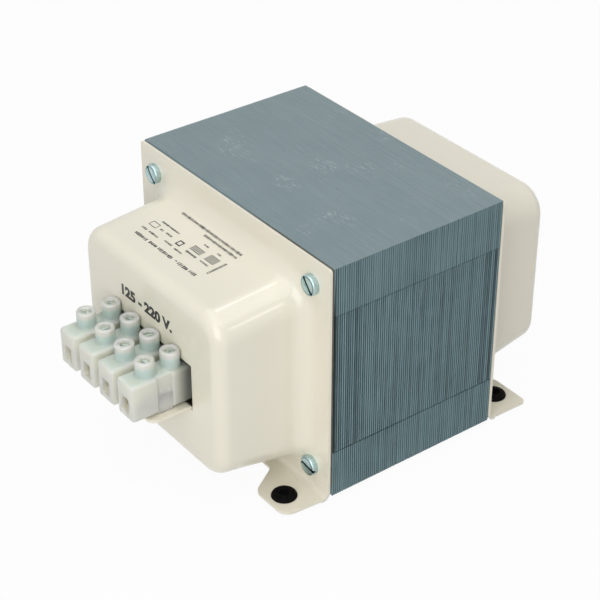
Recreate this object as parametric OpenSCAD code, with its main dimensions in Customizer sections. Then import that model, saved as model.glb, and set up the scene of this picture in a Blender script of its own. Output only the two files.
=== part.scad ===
/* [Core] */
// Width of the core and of both covers
core_w = 150; // [144:1:190]
// Height of the core
core_h = 125; // [104:1:160]
// Depth of the stack of sheets
stack_d = 98; // [60:1:130]
// Width of the centre leg of an E sheet
centre_leg_w = 50; // [40:1:60]
// Width of an outer leg, which has its bolt holes down the middle
outer_leg_w = 25; // [22:0.5:30]
// Height of a yoke bar, the I sheet, which has its bolt holes along the middle
yoke_h = 25; // [22:0.5:30]
// Number of packets that the stack is built from, an even number
packets = 6; // [2:2:24]
// Thickness of the fibre card behind the front cover
card_t = 1.2; // [0.5:0.1:2]
// How far the card stays in from the edges of the core
card_inset = 0.4; // [0:0.1:2]

/* [Covers] */
// Thickness of the cover sheet
sheet_t = 1.4; // [1:0.1:2]
// Room between the coil and the inside of a bell's front
bell_room = 27.5; // [24:0.1:40]
// Distance from the line of the bolts in to a bell's side
bell_in_side = 5.5; // [5:0.1:8]
// Distance from the line of the bolts up to a bell's underside
bell_in_low = 3.3; // [3:0.1:5]
// Distance from the line of the bolts down to a bell's top
bell_in_high = 3.2; // [3:0.1:5]
// How far each side of a bell draws in towards the front
draft_side = 0.7; // [0:0.1:3]
// How far the underside of a bell rises towards the front
draft_low = 1.7; // [0:0.1:4]
// How far the top of a bell drops towards the front
draft_high = 3.3; // [0:0.1:6]
// Radius of the four long corners of a bell
bell_corner_r = 15; // [12:0.5:20]
// Radius of the edge round the front of a bell
bell_edge_r = 7; // [4:0.5:10]
// Size of the flare where a bell meets its flange
bell_flare = 5.5; // [3:0.5:7]
// Radius of the flange's two upper corners
flange_corner_r = 1.5; // [0.5:0.1:3]

/* [Feet] */
// Distance from a foot hole in to the side of the core
foot_inset = 14; // [12:0.5:16]
// Distance from a foot hole to the face of the flange
foot_out = 15; // [14:0.5:24]
// Reach of a lug past its foot hole
lug_reach = 10; // [8:0.5:14]
// Width of a lug at its tip
lug_w = 27.3; // [24:0.1:34]
// How much wider a lug is at its root than at its tip
lug_spread = 7.3; // [2:0.1:10]
// Radius of a lug's corners
lug_corner_r = 6; // [3:0.5:9]
// Inner radius of the bend that turns the sheet out to the lugs
bend_r = 6; // [3:0.5:7]
// Width of the flat lip between the two lugs
lip_w = 1.7; // [0.5:0.1:4]
// Height of a rubber foot under the lug
foot_under = 2; // [1.5:0.1:4]
// Height of a rubber foot over the lug
foot_over = 1.5; // [1:0.1:3]
// Width of the round edge on top of a rubber foot
foot_round = 2.6; // [1:0.1:3]
// Hole through a rubber foot for the mounting screw
foot_hole_d = 5.2; // [4.2:0.1:6]
// Wall of a rubber foot where it passes through its lug
foot_wall = 1.9; // [1.5:0.1:2.5]
// How far a rubber foot stands out past its hole in the lug
foot_rim = 1.8; // [1.2:0.1:2.5]

/* [Tie bolts] */
// Diameter of the thread
bolt_d = 5; // [4:0.5:6]
// How much wider than the thread the holes in the sheets are
sheet_hole_play = 0.6; // [0.4:0.1:1.5]
// How much wider than the thread the holes in the covers are
cover_hole_play = 1; // [0.4:0.1:1.5]
// How far a bolt's head stands out past its thread all round
bolt_head_rim = 2.5; // [1.5:0.1:3]
// Height of a bolt's head
bolt_head_h = 3; // [2.5:0.1:4]
// Width of the slot in a head
slot_w = 1.3; // [1:0.1:2]
// Depth of the slot in a head
slot_depth = 1.4; // [1:0.1:2]
// Wall of a nut from its thread to its flats
nut_wall = 1.5; // [1:0.1:2]
// Height of a nut
nut_h = 4; // [3:0.1:5]
// Thickness of the washer under a nut
washer_t = 1; // [0.8:0.1:1.6]
// How much wider than the thread the hole in a washer is
washer_play = 0.3; // [0.2:0.1:0.8]
// Length of thread that stands out past a nut
bolt_spare = 2.5; // [1:0.1:6]

/* [Coil] */
// Thickness of the bobbin's walls
bobbin_t = 1.6; // [1.2:0.1:2]
// Play between the bobbin and the core
bobbin_play = 0.3; // [0.2:0.05:0.5]
// Gap in the window between the bobbin's flanges and the outer legs
window_gap = 3.3; // [1:0.1:5]
// Build of the inner winding; the outer one fills what is left
winding_inner_t = 9.5; // [5:0.1:12]
// Thickness of the tape round the outer winding
wrap_t = 0.6; // [0.3:0.1:1]
// How far the bobbin's flanges stand out past the wrap
flange_over = 1.2; // [0.5:0.1:1.8]
// Corner radius of a layer of wire, as a share of how far out it lies
coil_roundness = 0.7; // [0.2:0.1:1]

/* [Terminals] */
// Gap between two terminals
pole_gap = 3.7; // [3.5:0.1:6]
// Wall of a terminal beside its metal insert
pole_wall = 1.85; // [1.65:0.05:3]
// Depth of the terminal strip, front to back
strip_d = 36; // [33:0.5:40]
// Height of the strip's body without its towers
strip_body_h = 20.5; // [18:0.1:23]
// Height of the strip with its towers
strip_h = 28.4; // [26:0.1:34]
// Gap under the front and the back of each terminal
strip_lift = 1.2; // [0.5:0.1:2]
// Radius of a terminal's upright corners
pole_corner_r = 2; // [0.5:0.1:3]
// Wall of a screw tower
tower_wall = 1.6; // [1:0.1:2]
// Distance between the two towers of one terminal
tower_pitch = 13.4; // [12:0.1:15]
// Gap between the rear towers and the face of the bell
tower_gap = 0.2; // [0.2:0.1:3]
// Gap round the clamp screw in its tower
tower_play = 0.5; // [0.3:0.1:0.8]
// Depth of the web that joins two terminals, front to back
web_d = 8; // [7:0.1:10]
// Height of that web
web_h = 12; // [8:0.5:14]
// Depth of the recess in a terminal's sides beside the web
web_recess = 0.9; // [0.3:0.1:1.2]
// How far the funnel at each end of a terminal is wider than the insert's seat on each side
funnel_side = 0.25; // [0.1:0.05:0.5]
// How far that funnel is higher than the seat above and below
funnel_over = 1.45; // [0.5:0.05:2]
// Diameter of the metal insert in a terminal
insert_d = 8.8; // [8.2:0.1:9]
// Length of the insert
insert_l = 29; // [27:0.5:31]
// Hole in the insert for the wire
wire_hole_d = 6; // [5:0.1:6.4]
// Height of the insert's seat over the shelf
seat_low = 4.05; // [3.55:0.1:6]
// Wall left between the two blind holes of an insert
insert_web = 1.5; // [1:0.1:3]
// Diameter of a clamp screw
clamp_screw_d = 5; // [4:0.1:5.4]
// Length of a clamp screw
clamp_screw_l = 14; // [8:0.5:16]
// Width of the slots in the strip's screws
small_slot_w = 0.9; // [0.6:0.1:1.2]
// Depth of those slots
small_slot_depth = 1; // [0.5:0.1:1.5]
// Play between a piece of the strip and its seat
strip_play = 0.15; // [0.1:0.01:0.25]

/* [Cut-out and shelf] */
// Underside of the cut-out above the underside of the core
cutout_low = 50; // [44:0.5:56]
// Gap in the cut-out on each side of the strip
cutout_side_gap = 3.4; // [1.5:0.1:5]
// Gap in the cut-out over the strip's body
cutout_top_gap = 1.1; // [0.5:0.1:4]
// Slit on each side of the shelf
shelf_slit = 1; // [0.5:0.1:2]
// Reach of the shelf from the face of the bell
shelf_reach = 21.5; // [18:0.5:26]
// Radius of the shelf's front corners
shelf_corner_r = 4; // [2:0.5:8]
// Diameter of the screws that hold the strip down
strip_screw_d = 3; // [2.5:0.1:3.5]
// How much wider than those screws their holes and seats are
strip_screw_play = 0.4; // [0.2:0.1:0.6]
// How far their heads stand out past the thread all round
strip_screw_rim = 1.3; // [1:0.1:1.5]
// Height of their heads
strip_screw_head_h = 2; // [1.6:0.1:2.5]
// Wall of their nuts from the thread to the flats
strip_nut_wall = 1.25; // [1:0.05:1.5]
// Height of their nuts
strip_nut_h = 2.4; // [2:0.1:3]
// Length of thread that stands out past those nuts
strip_screw_spare = 1.5; // [0.5:0.1:3]

/* [Leads] */
// Diameter of an insulated lead
lead_d = 4; // [3:0.1:4.6]
// Diameter of its bare conductor
wire_d = 2.8; // [2:0.1:3.2]
// Radius of the bend in a lead
lead_bend_r = 6; // [5:0.5:7]
// Gap between a lead and the face of the coil
lead_gap = 0.3; // [0.2:0.1:1]
// Length of bare conductor between the strip and a lead's sleeve
lead_bare = 0.5; // [0.5:0.1:3]
// How far below the coil's upper flange a lead ends
lead_stop = 2; // [0.5:0.1:10]

/* [Hidden] */
$fn = 64;
SIDES = [-1, 1];
// By how much a cut runs past a face
cut = 1;
// The thickness of a slice that a shape is stretched from, and of what fuses two solids
hair = 0.05;

// The floor is at zero, under the rubber feet, and y is zero half way between the two covers.
lug_top = foot_under + sheet_t;
core_z = lug_top;
flange_face = -(stack_d + card_t + 2 * sheet_t) / 2;
card_front = flange_face + sheet_t;
stack_front = card_front + card_t;
stack_y = stack_front + stack_d / 2;
packet_t = stack_d / packets;
window_w = (core_w - centre_leg_w - 2 * outer_leg_w) / 2;
window_h = core_h - 2 * yoke_h;
bolt_x = (core_w - outer_leg_w) / 2;
bolt_low = core_z + yoke_h / 2;
bolt_high = core_z + core_h - yoke_h / 2;
sheet_hole_d = bolt_d + sheet_hole_play;
bolt_head_d = bolt_d + 2 * bolt_head_rim;
nut_flats = bolt_d + 2 * nut_wall;

// Each layer of the coil is given by how far it stands out from the faces of the centre leg.
wind_low = core_z + yoke_h + bobbin_play + bobbin_t;
wind_high = core_z + core_h - yoke_h - bobbin_play - bobbin_t;
tube_out = bobbin_play + bobbin_t;
inner_out = tube_out + winding_inner_t;
flange_out = window_w - window_gap;
coil_out = flange_out - flange_over;
coil_face = stack_front - coil_out;

bell_face = coil_face - bell_room - sheet_t;
bell_root_w = 2 * (bolt_x - bell_in_side);
bell_root_low = bolt_low + bell_in_low;
bell_root_high = bolt_high - bell_in_high;
bell_front_w = bell_root_w - 2 * draft_side;
bell_front_low = bell_root_low + draft_low;
bell_front_high = bell_root_high - draft_high;
foot_x = core_w / 2 - foot_inset;
foot_y = foot_out - flange_face;
lug_hole_d = foot_hole_d + 2 * foot_wall;
foot_d = lug_hole_d + 2 * foot_rim;

seat_d = insert_d + 2 * strip_play;
seat_l = insert_l + 2 * strip_play;
pole_w = seat_d + 2 * pole_wall;
pole_pitch = pole_w + pole_gap;
tower_hole_d = clamp_screw_d + 2 * tower_play;
tower_d = tower_hole_d + 2 * tower_wall;
strip_screw_head_d = strip_screw_d + 2 * strip_screw_rim;
strip_nut_flats = strip_screw_d + 2 * strip_nut_wall;
poles = 4;
function pole_x(i) = (i - (poles - 1) / 2) * pole_pitch;
fixings = [-pole_pitch, pole_pitch];
strip_w = poles * pole_pitch - pole_gap;
strip_y = bell_face - tower_gap - (tower_pitch + tower_d) / 2;
tower_y = [strip_y - tower_pitch / 2, strip_y + tower_pitch / 2];
cutout_w = strip_w + 2 * cutout_side_gap;
cutout_h = strip_body_h + cutout_top_gap;
shelf_top = core_z + cutout_low;
wire_z = shelf_top + seat_low + seat_d / 2;
wire_axis = wire_z - wire_hole_d / 2 + wire_d / 2 + hair;

// A rectangle with round corners, centred, in the plane.
module round_rect(w, h, r) {
    square([w - 2 * r, h], center = true);
    square([w, h - 2 * r], center = true);
    for (x = SIDES, y = SIDES)
        translate([x * (w / 2 - r), y * (h / 2 - r)]) circle(r);
}

// A plane shape stood up, so that its thickness runs from y back to y + t.
module stand(y, t) {
    translate([0, y + t, 0]) rotate([90, 0, 0]) linear_extrude(t) children();
}

// A rod along y.
module rod_y(x, y, z, d, l) {
    translate([x, y, z]) rotate([-90, 0, 0]) cylinder(d = d, h = l);
}

/* ---- Core ---- */

// The four bolt holes, as seen from the front.
module bolt_holes(d) {
    for (x = SIDES, z = [bolt_low, bolt_high])
        translate([x * bolt_x, z]) circle(d = d);
}

// One E sheet with its yoke at the top.
module e_outline() {
    z0 = core_z + yoke_h;
    difference() {
        translate([-core_w / 2, z0]) square([core_w, core_h - yoke_h]);
        for (x = SIDES)
            translate([x * (centre_leg_w + window_w) / 2 - window_w / 2, z0 - cut])
                square([window_w, window_h + cut]);
        bolt_holes(sheet_hole_d);
    }
}

// One I sheet under it.
module i_outline() {
    difference() {
        translate([-core_w / 2, core_z]) square([core_w, yoke_h]);
        bolt_holes(sheet_hole_d);
    }
}

module upside_down() {
    translate([0, 2 * core_z + core_h]) mirror([0, 1]) children();
}

// Every second packet of the stack, from the first or from the second.
module packets_from(first) {
    for (i = [first:2:packets - 1])
        stand(stack_front + i * packet_t, packet_t) children();
}

module upright_e_sheets() {
    color("#5c7479") packets_from(0) e_outline();
}

module inverted_e_sheets() {
    color("#64797e") packets_from(1) upside_down() e_outline();
}

module top_i_sheets() {
    color("#86959a") packets_from(1) upside_down() i_outline();
}

module bottom_i_sheets() {
    color("#596c70") packets_from(0) i_outline();
}

// The card keeps the front cover off the sheets and is open where the coil comes through.
module fibre_card() {
    color("#4f4a3d") stand(card_front, card_t) difference() {
        translate([-core_w / 2 + card_inset, core_z + bend_r])
            square([core_w - 2 * card_inset, core_h - bend_r - card_inset]);
        translate([0, core_z + core_h / 2])
            square([core_w - 2 * outer_leg_w, window_h], center = true);
        bolt_holes(sheet_hole_d);
    }
}

/* ---- Covers, drawn as the front one ---- */

// A slice of a bell's root outline, grown all round, at this depth from the flange's face.
module bell_slice(grow, depth) {
    low = bell_root_low - grow;
    high = bell_root_high + grow;
    stand(flange_face - depth - hair, hair)
        translate([0, (low + high) / 2])
            round_rect(bell_root_w + 2 * grow, high - low, bell_corner_r + grow, $fn = 48);
}

// The ring corners that give a bell its round front edge. A round edge wider than half a corner
// would cross the corner's own axis, so each ring is cut off there.
module bell_corners(inset) {
    r = bell_edge_r - inset;
    x = bell_front_w / 2 - bell_corner_r;
    z_low = bell_front_low + bell_corner_r;
    z_high = bell_front_high - bell_corner_r;
    for (side = SIDES, z = [z_low, z_high])
        translate([side * x, bell_face + bell_edge_r, z]) rotate([90, 0, 0])
            rotate_extrude($fn = 48) intersection() {
                translate([bell_corner_r - bell_edge_r, 0]) circle(r, $fn = 32);
                translate([0, -bell_edge_r - cut])
                    square([bell_corner_r + cut, 2 * (bell_edge_r + cut)]);
            }
}

// The solid within a bell's outer face or, with an inset, its inner face. It starts this far
// behind the flange's face. Two sloping steps at its root stand for one hollow curve.
module bell_body(inset, back) {
    mid = bell_flare * 0.35;
    end = bell_flare * 1.1;
    hull() {
        bell_corners(inset);
        bell_slice(-inset, -back);
    }
    hull() {
        bell_slice(bell_flare - inset, -back);
        bell_slice(mid - inset, mid - back);
    }
    hull() {
        bell_slice(mid - inset, mid - back);
        bell_slice(-inset, end - back);
    }
}

// The flat flange above the bend.
module flange() {
    low = core_z + bend_r;
    high = core_z + core_h;
    r = flange_corner_r;
    stand(flange_face, sheet_t) {
        translate([-core_w / 2, low]) square([core_w, high - low - r]);
        translate([-core_w / 2 + r, low]) square([core_w - 2 * r, high - low]);
        for (x = SIDES) translate([x * (core_w / 2 - r), high - r]) circle(r);
    }
}

// Where a line from a point touches a circle, on the side to the left of that line.
function touch(from, centre, r) =
    let (d = centre - from, l = sqrt(d * d - r * r), a = atan2(d[1], d[0]) - atan2(r, l))
    from + l * [cos(a), sin(a)];

// Outline from above of the lip and the two lugs, from the flange out.
module foot_outline() {
    lip_y = flange_face - bend_r - lip_w;
    tip_y = -foot_y - lug_reach;
    side = core_w / 2;
    r = lug_corner_r;
    inner = [side - lug_w + r, tip_y + r];
    outer = [side - r, tip_y + r];
    root = [side - lug_w - lug_spread, lip_y];
    for (turn = [0, 1]) mirror([turn, 0]) {
        polygon([[0, flange_face + sheet_t], [side, flange_face + sheet_t], [side, tip_y + r],
            outer, [side - r, tip_y], [inner[0], tip_y], inner, touch(root, inner, r), root, [0, lip_y]]);
        translate(outer) circle(r);
        translate(inner) circle(r);
    }
}

// The sheet bent out from the flange and laid flat.
module bent_sheet() {
    tip = foot_y + lug_reach;
    y0 = flange_face - bend_r;
    rotate([90, 0, 90]) linear_extrude(core_w, center = true) {
        intersection() {
            difference() {
                translate([y0, core_z + bend_r]) circle(bend_r + sheet_t);
                translate([y0, core_z + bend_r]) circle(bend_r);
            }
            translate([y0, core_z - sheet_t]) square([bend_r + sheet_t, bend_r + sheet_t]);
        }
        translate([-tip, core_z - sheet_t]) square([tip + y0, sheet_t]);
    }
}

module cover_feet() {
    difference() {
        intersection() {
            bent_sheet();
            translate([0, 0, -cut]) linear_extrude(core_z + bend_r + cut) foot_outline();
        }
        for (x = SIDES)
            translate([x * foot_x, -foot_y, -cut]) cylinder(d = lug_hole_d, h = core_z + 2 * cut);
    }
}

module cover() {
    difference() {
        union() {
            flange();
            bell_body(0, 0);
        }
        bell_body(sheet_t, sheet_t + hair);
        stand(flange_face - cut, sheet_t + 2 * cut) bolt_holes(bolt_d + cover_hole_play);
    }
    cover_feet();
}

// The tongue cut from the opening and turned out level, with its screw holes.
module shelf() {
    w = cutout_w - 2 * shelf_slit;
    r = shelf_corner_r;
    translate([0, 0, shelf_top - sheet_t]) linear_extrude(sheet_t) difference() {
        union() {
            translate([-w / 2, bell_face - shelf_reach + r]) square([w, shelf_reach - r + sheet_t]);
            translate([-w / 2 + r, bell_face - shelf_reach]) square([w - 2 * r, 2 * r]);
            for (x = SIDES)
                translate([x * (w / 2 - r), bell_face - shelf_reach + r]) circle(r);
        }
        for (x = fixings) translate([x, strip_y]) circle(d = strip_screw_d + strip_screw_play);
    }
}

module front_cover() {
    color("#dedace") {
        difference() {
            cover();
            translate([-cutout_w / 2, bell_face - cut, shelf_top])
                cube([cutout_w, sheet_t + 2 * cut, cutout_h]);
        }
        shelf();
    }
}

module back_cover() {
    color("#d2cbc0") mirror([0, 1, 0]) cover();
}

/* ---- Coil ---- */

// The outline from above of what stands this far out from the centre leg: square, or round
// at the corners as wire lies.
module leg_square(out) {
    translate([0, stack_y]) square([centre_leg_w + 2 * out, stack_d + 2 * out], center = true);
}

module leg_round(out) {
    translate([0, stack_y])
        round_rect(centre_leg_w + 2 * out, stack_d + 2 * out, out * coil_roundness);
}

// A layer of the coil between the bobbin's flanges, around its inner outline.
module layer(out) {
    translate([0, 0, wind_low]) linear_extrude(wind_high - wind_low) difference() {
        leg_round(out);
        children();
    }
}

module bobbin() {
    low = wind_low - bobbin_t;
    color("#30302c") {
        translate([0, 0, low]) linear_extrude(wind_high - low + bobbin_t) difference() {
            leg_square(tube_out);
            leg_square(bobbin_play);
        }
        for (z = [low, wind_high])
            translate([0, 0, z]) linear_extrude(bobbin_t) difference() {
                leg_round(flange_out);
                leg_square(bobbin_play);
            }
    }
}

module inner_winding() {
    color("#a4562c") layer(inner_out) leg_square(tube_out);
}

module outer_winding() {
    color("#b0642f") layer(coil_out - wrap_t) leg_round(inner_out);
}

module coil_wrap() {
    color("#d9c98a") layer(coil_out) leg_round(coil_out - wrap_t);
}

/* ---- Tie bolts ---- */

// A slotted bolt from the front: its head lies on the flange.
module tie_bolt(x, z, turn) {
    length = -2 * flange_face + washer_t + nut_h + bolt_spare;
    edge = 0.8;
    color("#b9c4c9") {
        rod_y(x, flange_face - hair, z, bolt_d, length);
        difference() {
            translate([x, flange_face, z]) rotate([90, 0, 0]) {
                cylinder(d = bolt_head_d, h = bolt_head_h - edge);
                translate([0, 0, bolt_head_h - edge])
                    cylinder(d1 = bolt_head_d, d2 = bolt_head_d - 2 * edge, h = edge);
            }
            translate([x, flange_face - bolt_head_h, z]) rotate([0, turn, 0])
                cube([bolt_head_d + 2 * cut, 2 * slot_depth, slot_w], center = true);
        }
    }
}

module tie_bolt_top_left() { tie_bolt(-bolt_x, bolt_high, 52); }
module tie_bolt_top_right() { tie_bolt(bolt_x, bolt_high, 50); }
module tie_bolt_bottom_left() { tie_bolt(-bolt_x, bolt_low, 78); }
module tie_bolt_bottom_right() { tie_bolt(bolt_x, bolt_low, 10); }

module nut(x, z) {
    color("#b9c4c9") difference() {
        translate([x, -flange_face + washer_t, z]) rotate([-90, 0, 0])
            cylinder(d = nut_flats / cos(30), h = nut_h, $fn = 6);
        rod_y(x, -flange_face, z, bolt_d, 2 * nut_h);
    }
}

module nut_top_left() { nut(-bolt_x, bolt_high); }
module nut_top_right() { nut(bolt_x, bolt_high); }
module nut_bottom_left() { nut(-bolt_x, bolt_low); }
module nut_bottom_right() { nut(bolt_x, bolt_low); }

module nut_washers() {
    color("#aeb8bc") stand(-flange_face, washer_t) difference() {
        bolt_holes(bolt_head_d);
        bolt_holes(bolt_d + washer_play);
    }
}

/* ---- Rubber feet ---- */

// A grommet: a disc under the lug, a waist through it and a low dome on it, with a screw hole.
module foot(x, y) {
    waist = lug_hole_d / 2;
    r = foot_d / 2;
    bore = foot_hole_d / 2;
    edge = 0.6;
    dome = [for (a = [0:30:90]) [r - foot_round * (1 - cos(a)), lug_top + foot_over * sin(a)]];
    color("#171a1a") translate([x, y, 0]) rotate_extrude() polygon(concat(
        [[bore, 0], [r - edge, 0], [r, edge], [r, foot_under], [waist, foot_under], [waist, lug_top]],
        dome, [[bore, lug_top + foot_over]]));
}

module foot_front_left() { foot(-foot_x, -foot_y); }
module foot_front_right() { foot(foot_x, -foot_y); }
module foot_back_left() { foot(-foot_x, foot_y); }
module foot_back_right() { foot(foot_x, foot_y); }

/* ---- Terminal strip ---- */

// One terminal's moulded body with its two towers. It is narrower beside the web, and only
// that middle part stands on the shelf.
module pole_body(x) {
    waist = pole_w - 2 * web_recess;
    translate([x, strip_y, shelf_top]) {
        difference() {
            translate([0, 0, strip_lift]) linear_extrude(strip_body_h - strip_lift)
                round_rect(pole_w, strip_d, pole_corner_r);
            for (side = SIDES)
                translate([side * pole_w / 2 - web_recess, -web_d / 2, 0])
                    cube([2 * web_recess, web_d, strip_body_h + cut]);
        }
        translate([-waist / 2, -web_d / 2, 0]) cube([waist, web_d, strip_body_h]);
        for (side = SIDES)
            translate([0, side * tower_pitch / 2, strip_lift])
                cylinder(d = tower_d, h = strip_h - strip_lift);
    }
}

// The hollow in one terminal: a funnel at each end, a round seat for the insert, and the towers'.
module pole_hollow(x) {
    funnel_l = (strip_d - seat_l) / 2;
    for (y = [strip_y - strip_d / 2 - cut, strip_y + seat_l / 2])
        stand(y, funnel_l + cut) translate([x, wire_z])
            round_rect(seat_d + 2 * funnel_side, seat_d + 2 * funnel_over, pole_corner_r);
    rod_y(x, strip_y - seat_l / 2, wire_z, seat_d, seat_l);
    for (y = tower_y) translate([x, y, wire_z]) cylinder(d = tower_hole_d, h = strip_h);
}

module terminal_strip() {
    last = (poles - 1) * pole_pitch;
    color("#c9cfc4") difference() {
        union() {
            for (i = [0:poles - 1]) pole_body(pole_x(i));
            translate([-last / 2, strip_y - web_d / 2, shelf_top]) cube([last, web_d, web_h]);
        }
        for (i = [0:poles - 1]) pole_hollow(pole_x(i));
        for (i = [0:poles - 2]) translate([pole_x(i) + pole_pitch / 2, strip_y, shelf_top]) {
            translate([0, 0, -cut])
                cylinder(d = strip_screw_d + strip_screw_play, h = web_h + 2 * cut);
            translate([0, 0, web_h])
                cylinder(d = strip_screw_head_d + strip_screw_play, h = strip_h);
        }
    }
}

// A metal tube, blind from both ends, with a threaded hole for each clamp screw.
module terminal_insert(i) {
    depth = (insert_l - insert_web) / 2;
    x = pole_x(i);
    color("#b99b4d") difference() {
        rod_y(x, strip_y - insert_l / 2, wire_z, insert_d, insert_l);
        rod_y(x, strip_y - insert_l / 2 - cut, wire_z, wire_hole_d, depth + cut);
        rod_y(x, strip_y + insert_l / 2 - depth, wire_z, wire_hole_d, depth + cut);
        for (y = tower_y)
            translate([x, y, wire_z]) cylinder(d = clamp_screw_d, h = insert_d);
    }
}

module terminal_insert_1() { terminal_insert(0); }
module terminal_insert_2() { terminal_insert(1); }
module terminal_insert_3() { terminal_insert(2); }
module terminal_insert_4() { terminal_insert(3); }

// Headless slotted screws, from their tips up.
module clamp_screws(y, tip) {
    color("#aab4b4") for (i = [0:poles - 1]) difference() {
        translate([pole_x(i), y, tip]) cylinder(d = clamp_screw_d, h = clamp_screw_l);
        translate([pole_x(i), y, tip + clamp_screw_l])
            cube([clamp_screw_d + cut, small_slot_w, 2 * small_slot_depth], center = true);
    }
}

module front_clamp_screws() {
    clamp_screws(tower_y[0], wire_z + wire_hole_d / 2 + strip_play);
}

module back_clamp_screws() {
    clamp_screws(tower_y[1], wire_axis + wire_d / 2 + strip_play);
}

module strip_screws() {
    seat = shelf_top + web_h;
    under = shelf_top - sheet_t - strip_nut_h - strip_screw_spare;
    color("#c8b878") for (x = fixings) difference() {
        translate([x, strip_y, 0]) {
            translate([0, 0, under]) cylinder(d = strip_screw_d, h = seat - under + hair);
            translate([0, 0, seat]) cylinder(d = strip_screw_head_d, h = strip_screw_head_h);
        }
        translate([x, strip_y, seat + strip_screw_head_h]) rotate([0, 0, 30])
            cube([strip_screw_head_d + cut, small_slot_w, 2 * small_slot_depth], center = true);
    }
}

module strip_nuts() {
    color("#b9c4c9") for (x = fixings)
        translate([x, strip_y, shelf_top - sheet_t - strip_nut_h]) difference() {
            cylinder(d = strip_nut_flats / cos(30), h = strip_nut_h, $fn = 6);
            translate([0, 0, -cut]) cylinder(d = strip_screw_d, h = strip_nut_h + 2 * cut);
        }
}

/* ---- Leads: from the back of each insert to the face of the coil and up it ---- */

module lead(i) {
    x = pole_x(i);
    bare_from = strip_y + insert_web;
    skin_from = strip_y + strip_d / 2 + lead_bare;
    rise_y = coil_face - lead_gap - lead_d / 2;
    turn_y = rise_y - lead_bend_r;
    bend_z = wire_axis + lead_bend_r;
    color(i % 2 == 0 ? "#8c2f26" : "#2d3f73") {
        rod_y(x, bare_from, wire_axis, wire_d, skin_from - bare_from + hair);
        rod_y(x, skin_from, wire_axis, lead_d, turn_y - skin_from);
        translate([x, turn_y, bend_z]) rotate([0, 90, 0])
            rotate_extrude(angle = 90) translate([lead_bend_r, 0]) circle(d = lead_d, $fn = 32);
        translate([x, rise_y, bend_z]) cylinder(d = lead_d, h = wind_high - lead_stop - bend_z);
    }
}

module lead_1() { lead(0); }
module lead_2() { lead(1); }
module lead_3() { lead(2); }
module lead_4() { lead(3); }

upright_e_sheets();
inverted_e_sheets();
top_i_sheets();
bottom_i_sheets();
fibre_card();
front_cover();
back_cover();
bobbin();
inner_winding();
outer_winding();
coil_wrap();
tie_bolt_top_left();
tie_bolt_top_right();
tie_bolt_bottom_left();
tie_bolt_bottom_right();
nut_top_left();
nut_top_right();
nut_bottom_left();
nut_bottom_right();
nut_washers();
foot_front_left();
foot_front_right();
foot_back_left();
foot_back_right();
terminal_strip();
terminal_insert_1();
terminal_insert_2();
terminal_insert_3();
terminal_insert_4();
front_clamp_screws();
back_clamp_screws();
strip_screws();
strip_nuts();
lead_1();
lead_2();
lead_3();
lead_4();
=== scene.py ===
# %% [markdown]
# # A bench autotransformer
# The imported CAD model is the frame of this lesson: it holds every piece at its real size and
# place. A piece that the CAD draws well enough keeps its own mesh and only gets a material. One
# whose real surface is finer is drawn again from numbers that the frame gives, and says which
# CAD nodes it stands for.

import bmesh
import bpy
import numpy as np
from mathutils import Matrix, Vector


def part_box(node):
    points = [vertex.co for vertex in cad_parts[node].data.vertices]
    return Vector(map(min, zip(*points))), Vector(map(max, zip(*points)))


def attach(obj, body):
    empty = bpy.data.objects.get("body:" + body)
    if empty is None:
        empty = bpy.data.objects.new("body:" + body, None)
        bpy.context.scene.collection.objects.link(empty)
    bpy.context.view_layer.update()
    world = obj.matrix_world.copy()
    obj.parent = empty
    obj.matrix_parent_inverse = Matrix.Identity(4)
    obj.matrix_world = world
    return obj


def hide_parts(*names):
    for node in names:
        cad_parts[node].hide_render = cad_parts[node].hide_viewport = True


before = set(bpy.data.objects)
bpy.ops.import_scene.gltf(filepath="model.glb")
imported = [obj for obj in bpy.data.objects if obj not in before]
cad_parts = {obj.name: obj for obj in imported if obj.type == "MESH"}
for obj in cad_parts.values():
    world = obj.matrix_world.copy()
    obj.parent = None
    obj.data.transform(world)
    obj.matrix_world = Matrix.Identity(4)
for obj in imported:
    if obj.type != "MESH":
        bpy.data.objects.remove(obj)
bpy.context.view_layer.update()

# %% [markdown]
# ## Sizes that the frame gives
# Lengths are in millimetres until a mesh is made. A size that a step shares with the CAD is read
# from the box of the node that shows it: the washers lie on the back flange, the card lies
# inside the front one, and the back cover reaches to the face of its bell.

# %% Sizes from the frame
MM = 0.001


def node_box(node):
    """Lowest and highest corner of a CAD node, in millimetres."""
    low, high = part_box(node)
    return np.array(low) / MM, np.array(high) / MM


def middle(node):
    """Middle of a CAD node's box."""
    return sum(node_box(node)) / 2


_, STACK_FRONT, CORE_LOW = node_box("bottom_i_sheets")[0]
CORE_HALF, STACK_BACK, CORE_HIGH = node_box("top_i_sheets")[1]
YOKE = node_box("bottom_i_sheets")[1][2] - CORE_LOW
FLANGE = node_box("nut_washers")[0][1]
SHEET = FLANGE + node_box("fibre_card")[0][1]
BELL_FACE = node_box("back_cover")[1][1]
BOLT_X, _, BOLT_LOW = middle("nut_bottom_right")
BOLT_HIGH = middle("nut_top_right")[2]
print(f"core {2 * CORE_HALF:.1f} wide, {CORE_LOW:.1f} to {CORE_HIGH:.1f} high, yoke {YOKE:.1f}")
print(f"stack {STACK_FRONT:.1f} to {STACK_BACK:.1f}, flange {FLANGE:.1f}, bell face {BELL_FACE:.1f}")

# %% [markdown]
# ## Shapes as arrays
# A shape is a pair: an array of points, and a list of blocks with one row of point numbers for
# each face. A surface is worked out for all its points at once. Blender's own primitives and edit
# tools would do as well, but a formula is easier to keep true to the sizes above.

# %% Grids, lathes and places
def spread(*values):
    """Points from x, y and perhaps z, each spread over the array that they make together."""
    return np.stack(np.broadcast_arrays(*values), axis=-1)


def round_z(radius, angle, height):
    """Points round the z axis: x = r cos a, y = r sin a."""
    return spread(radius * np.cos(angle), radius * np.sin(angle), height)


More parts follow.
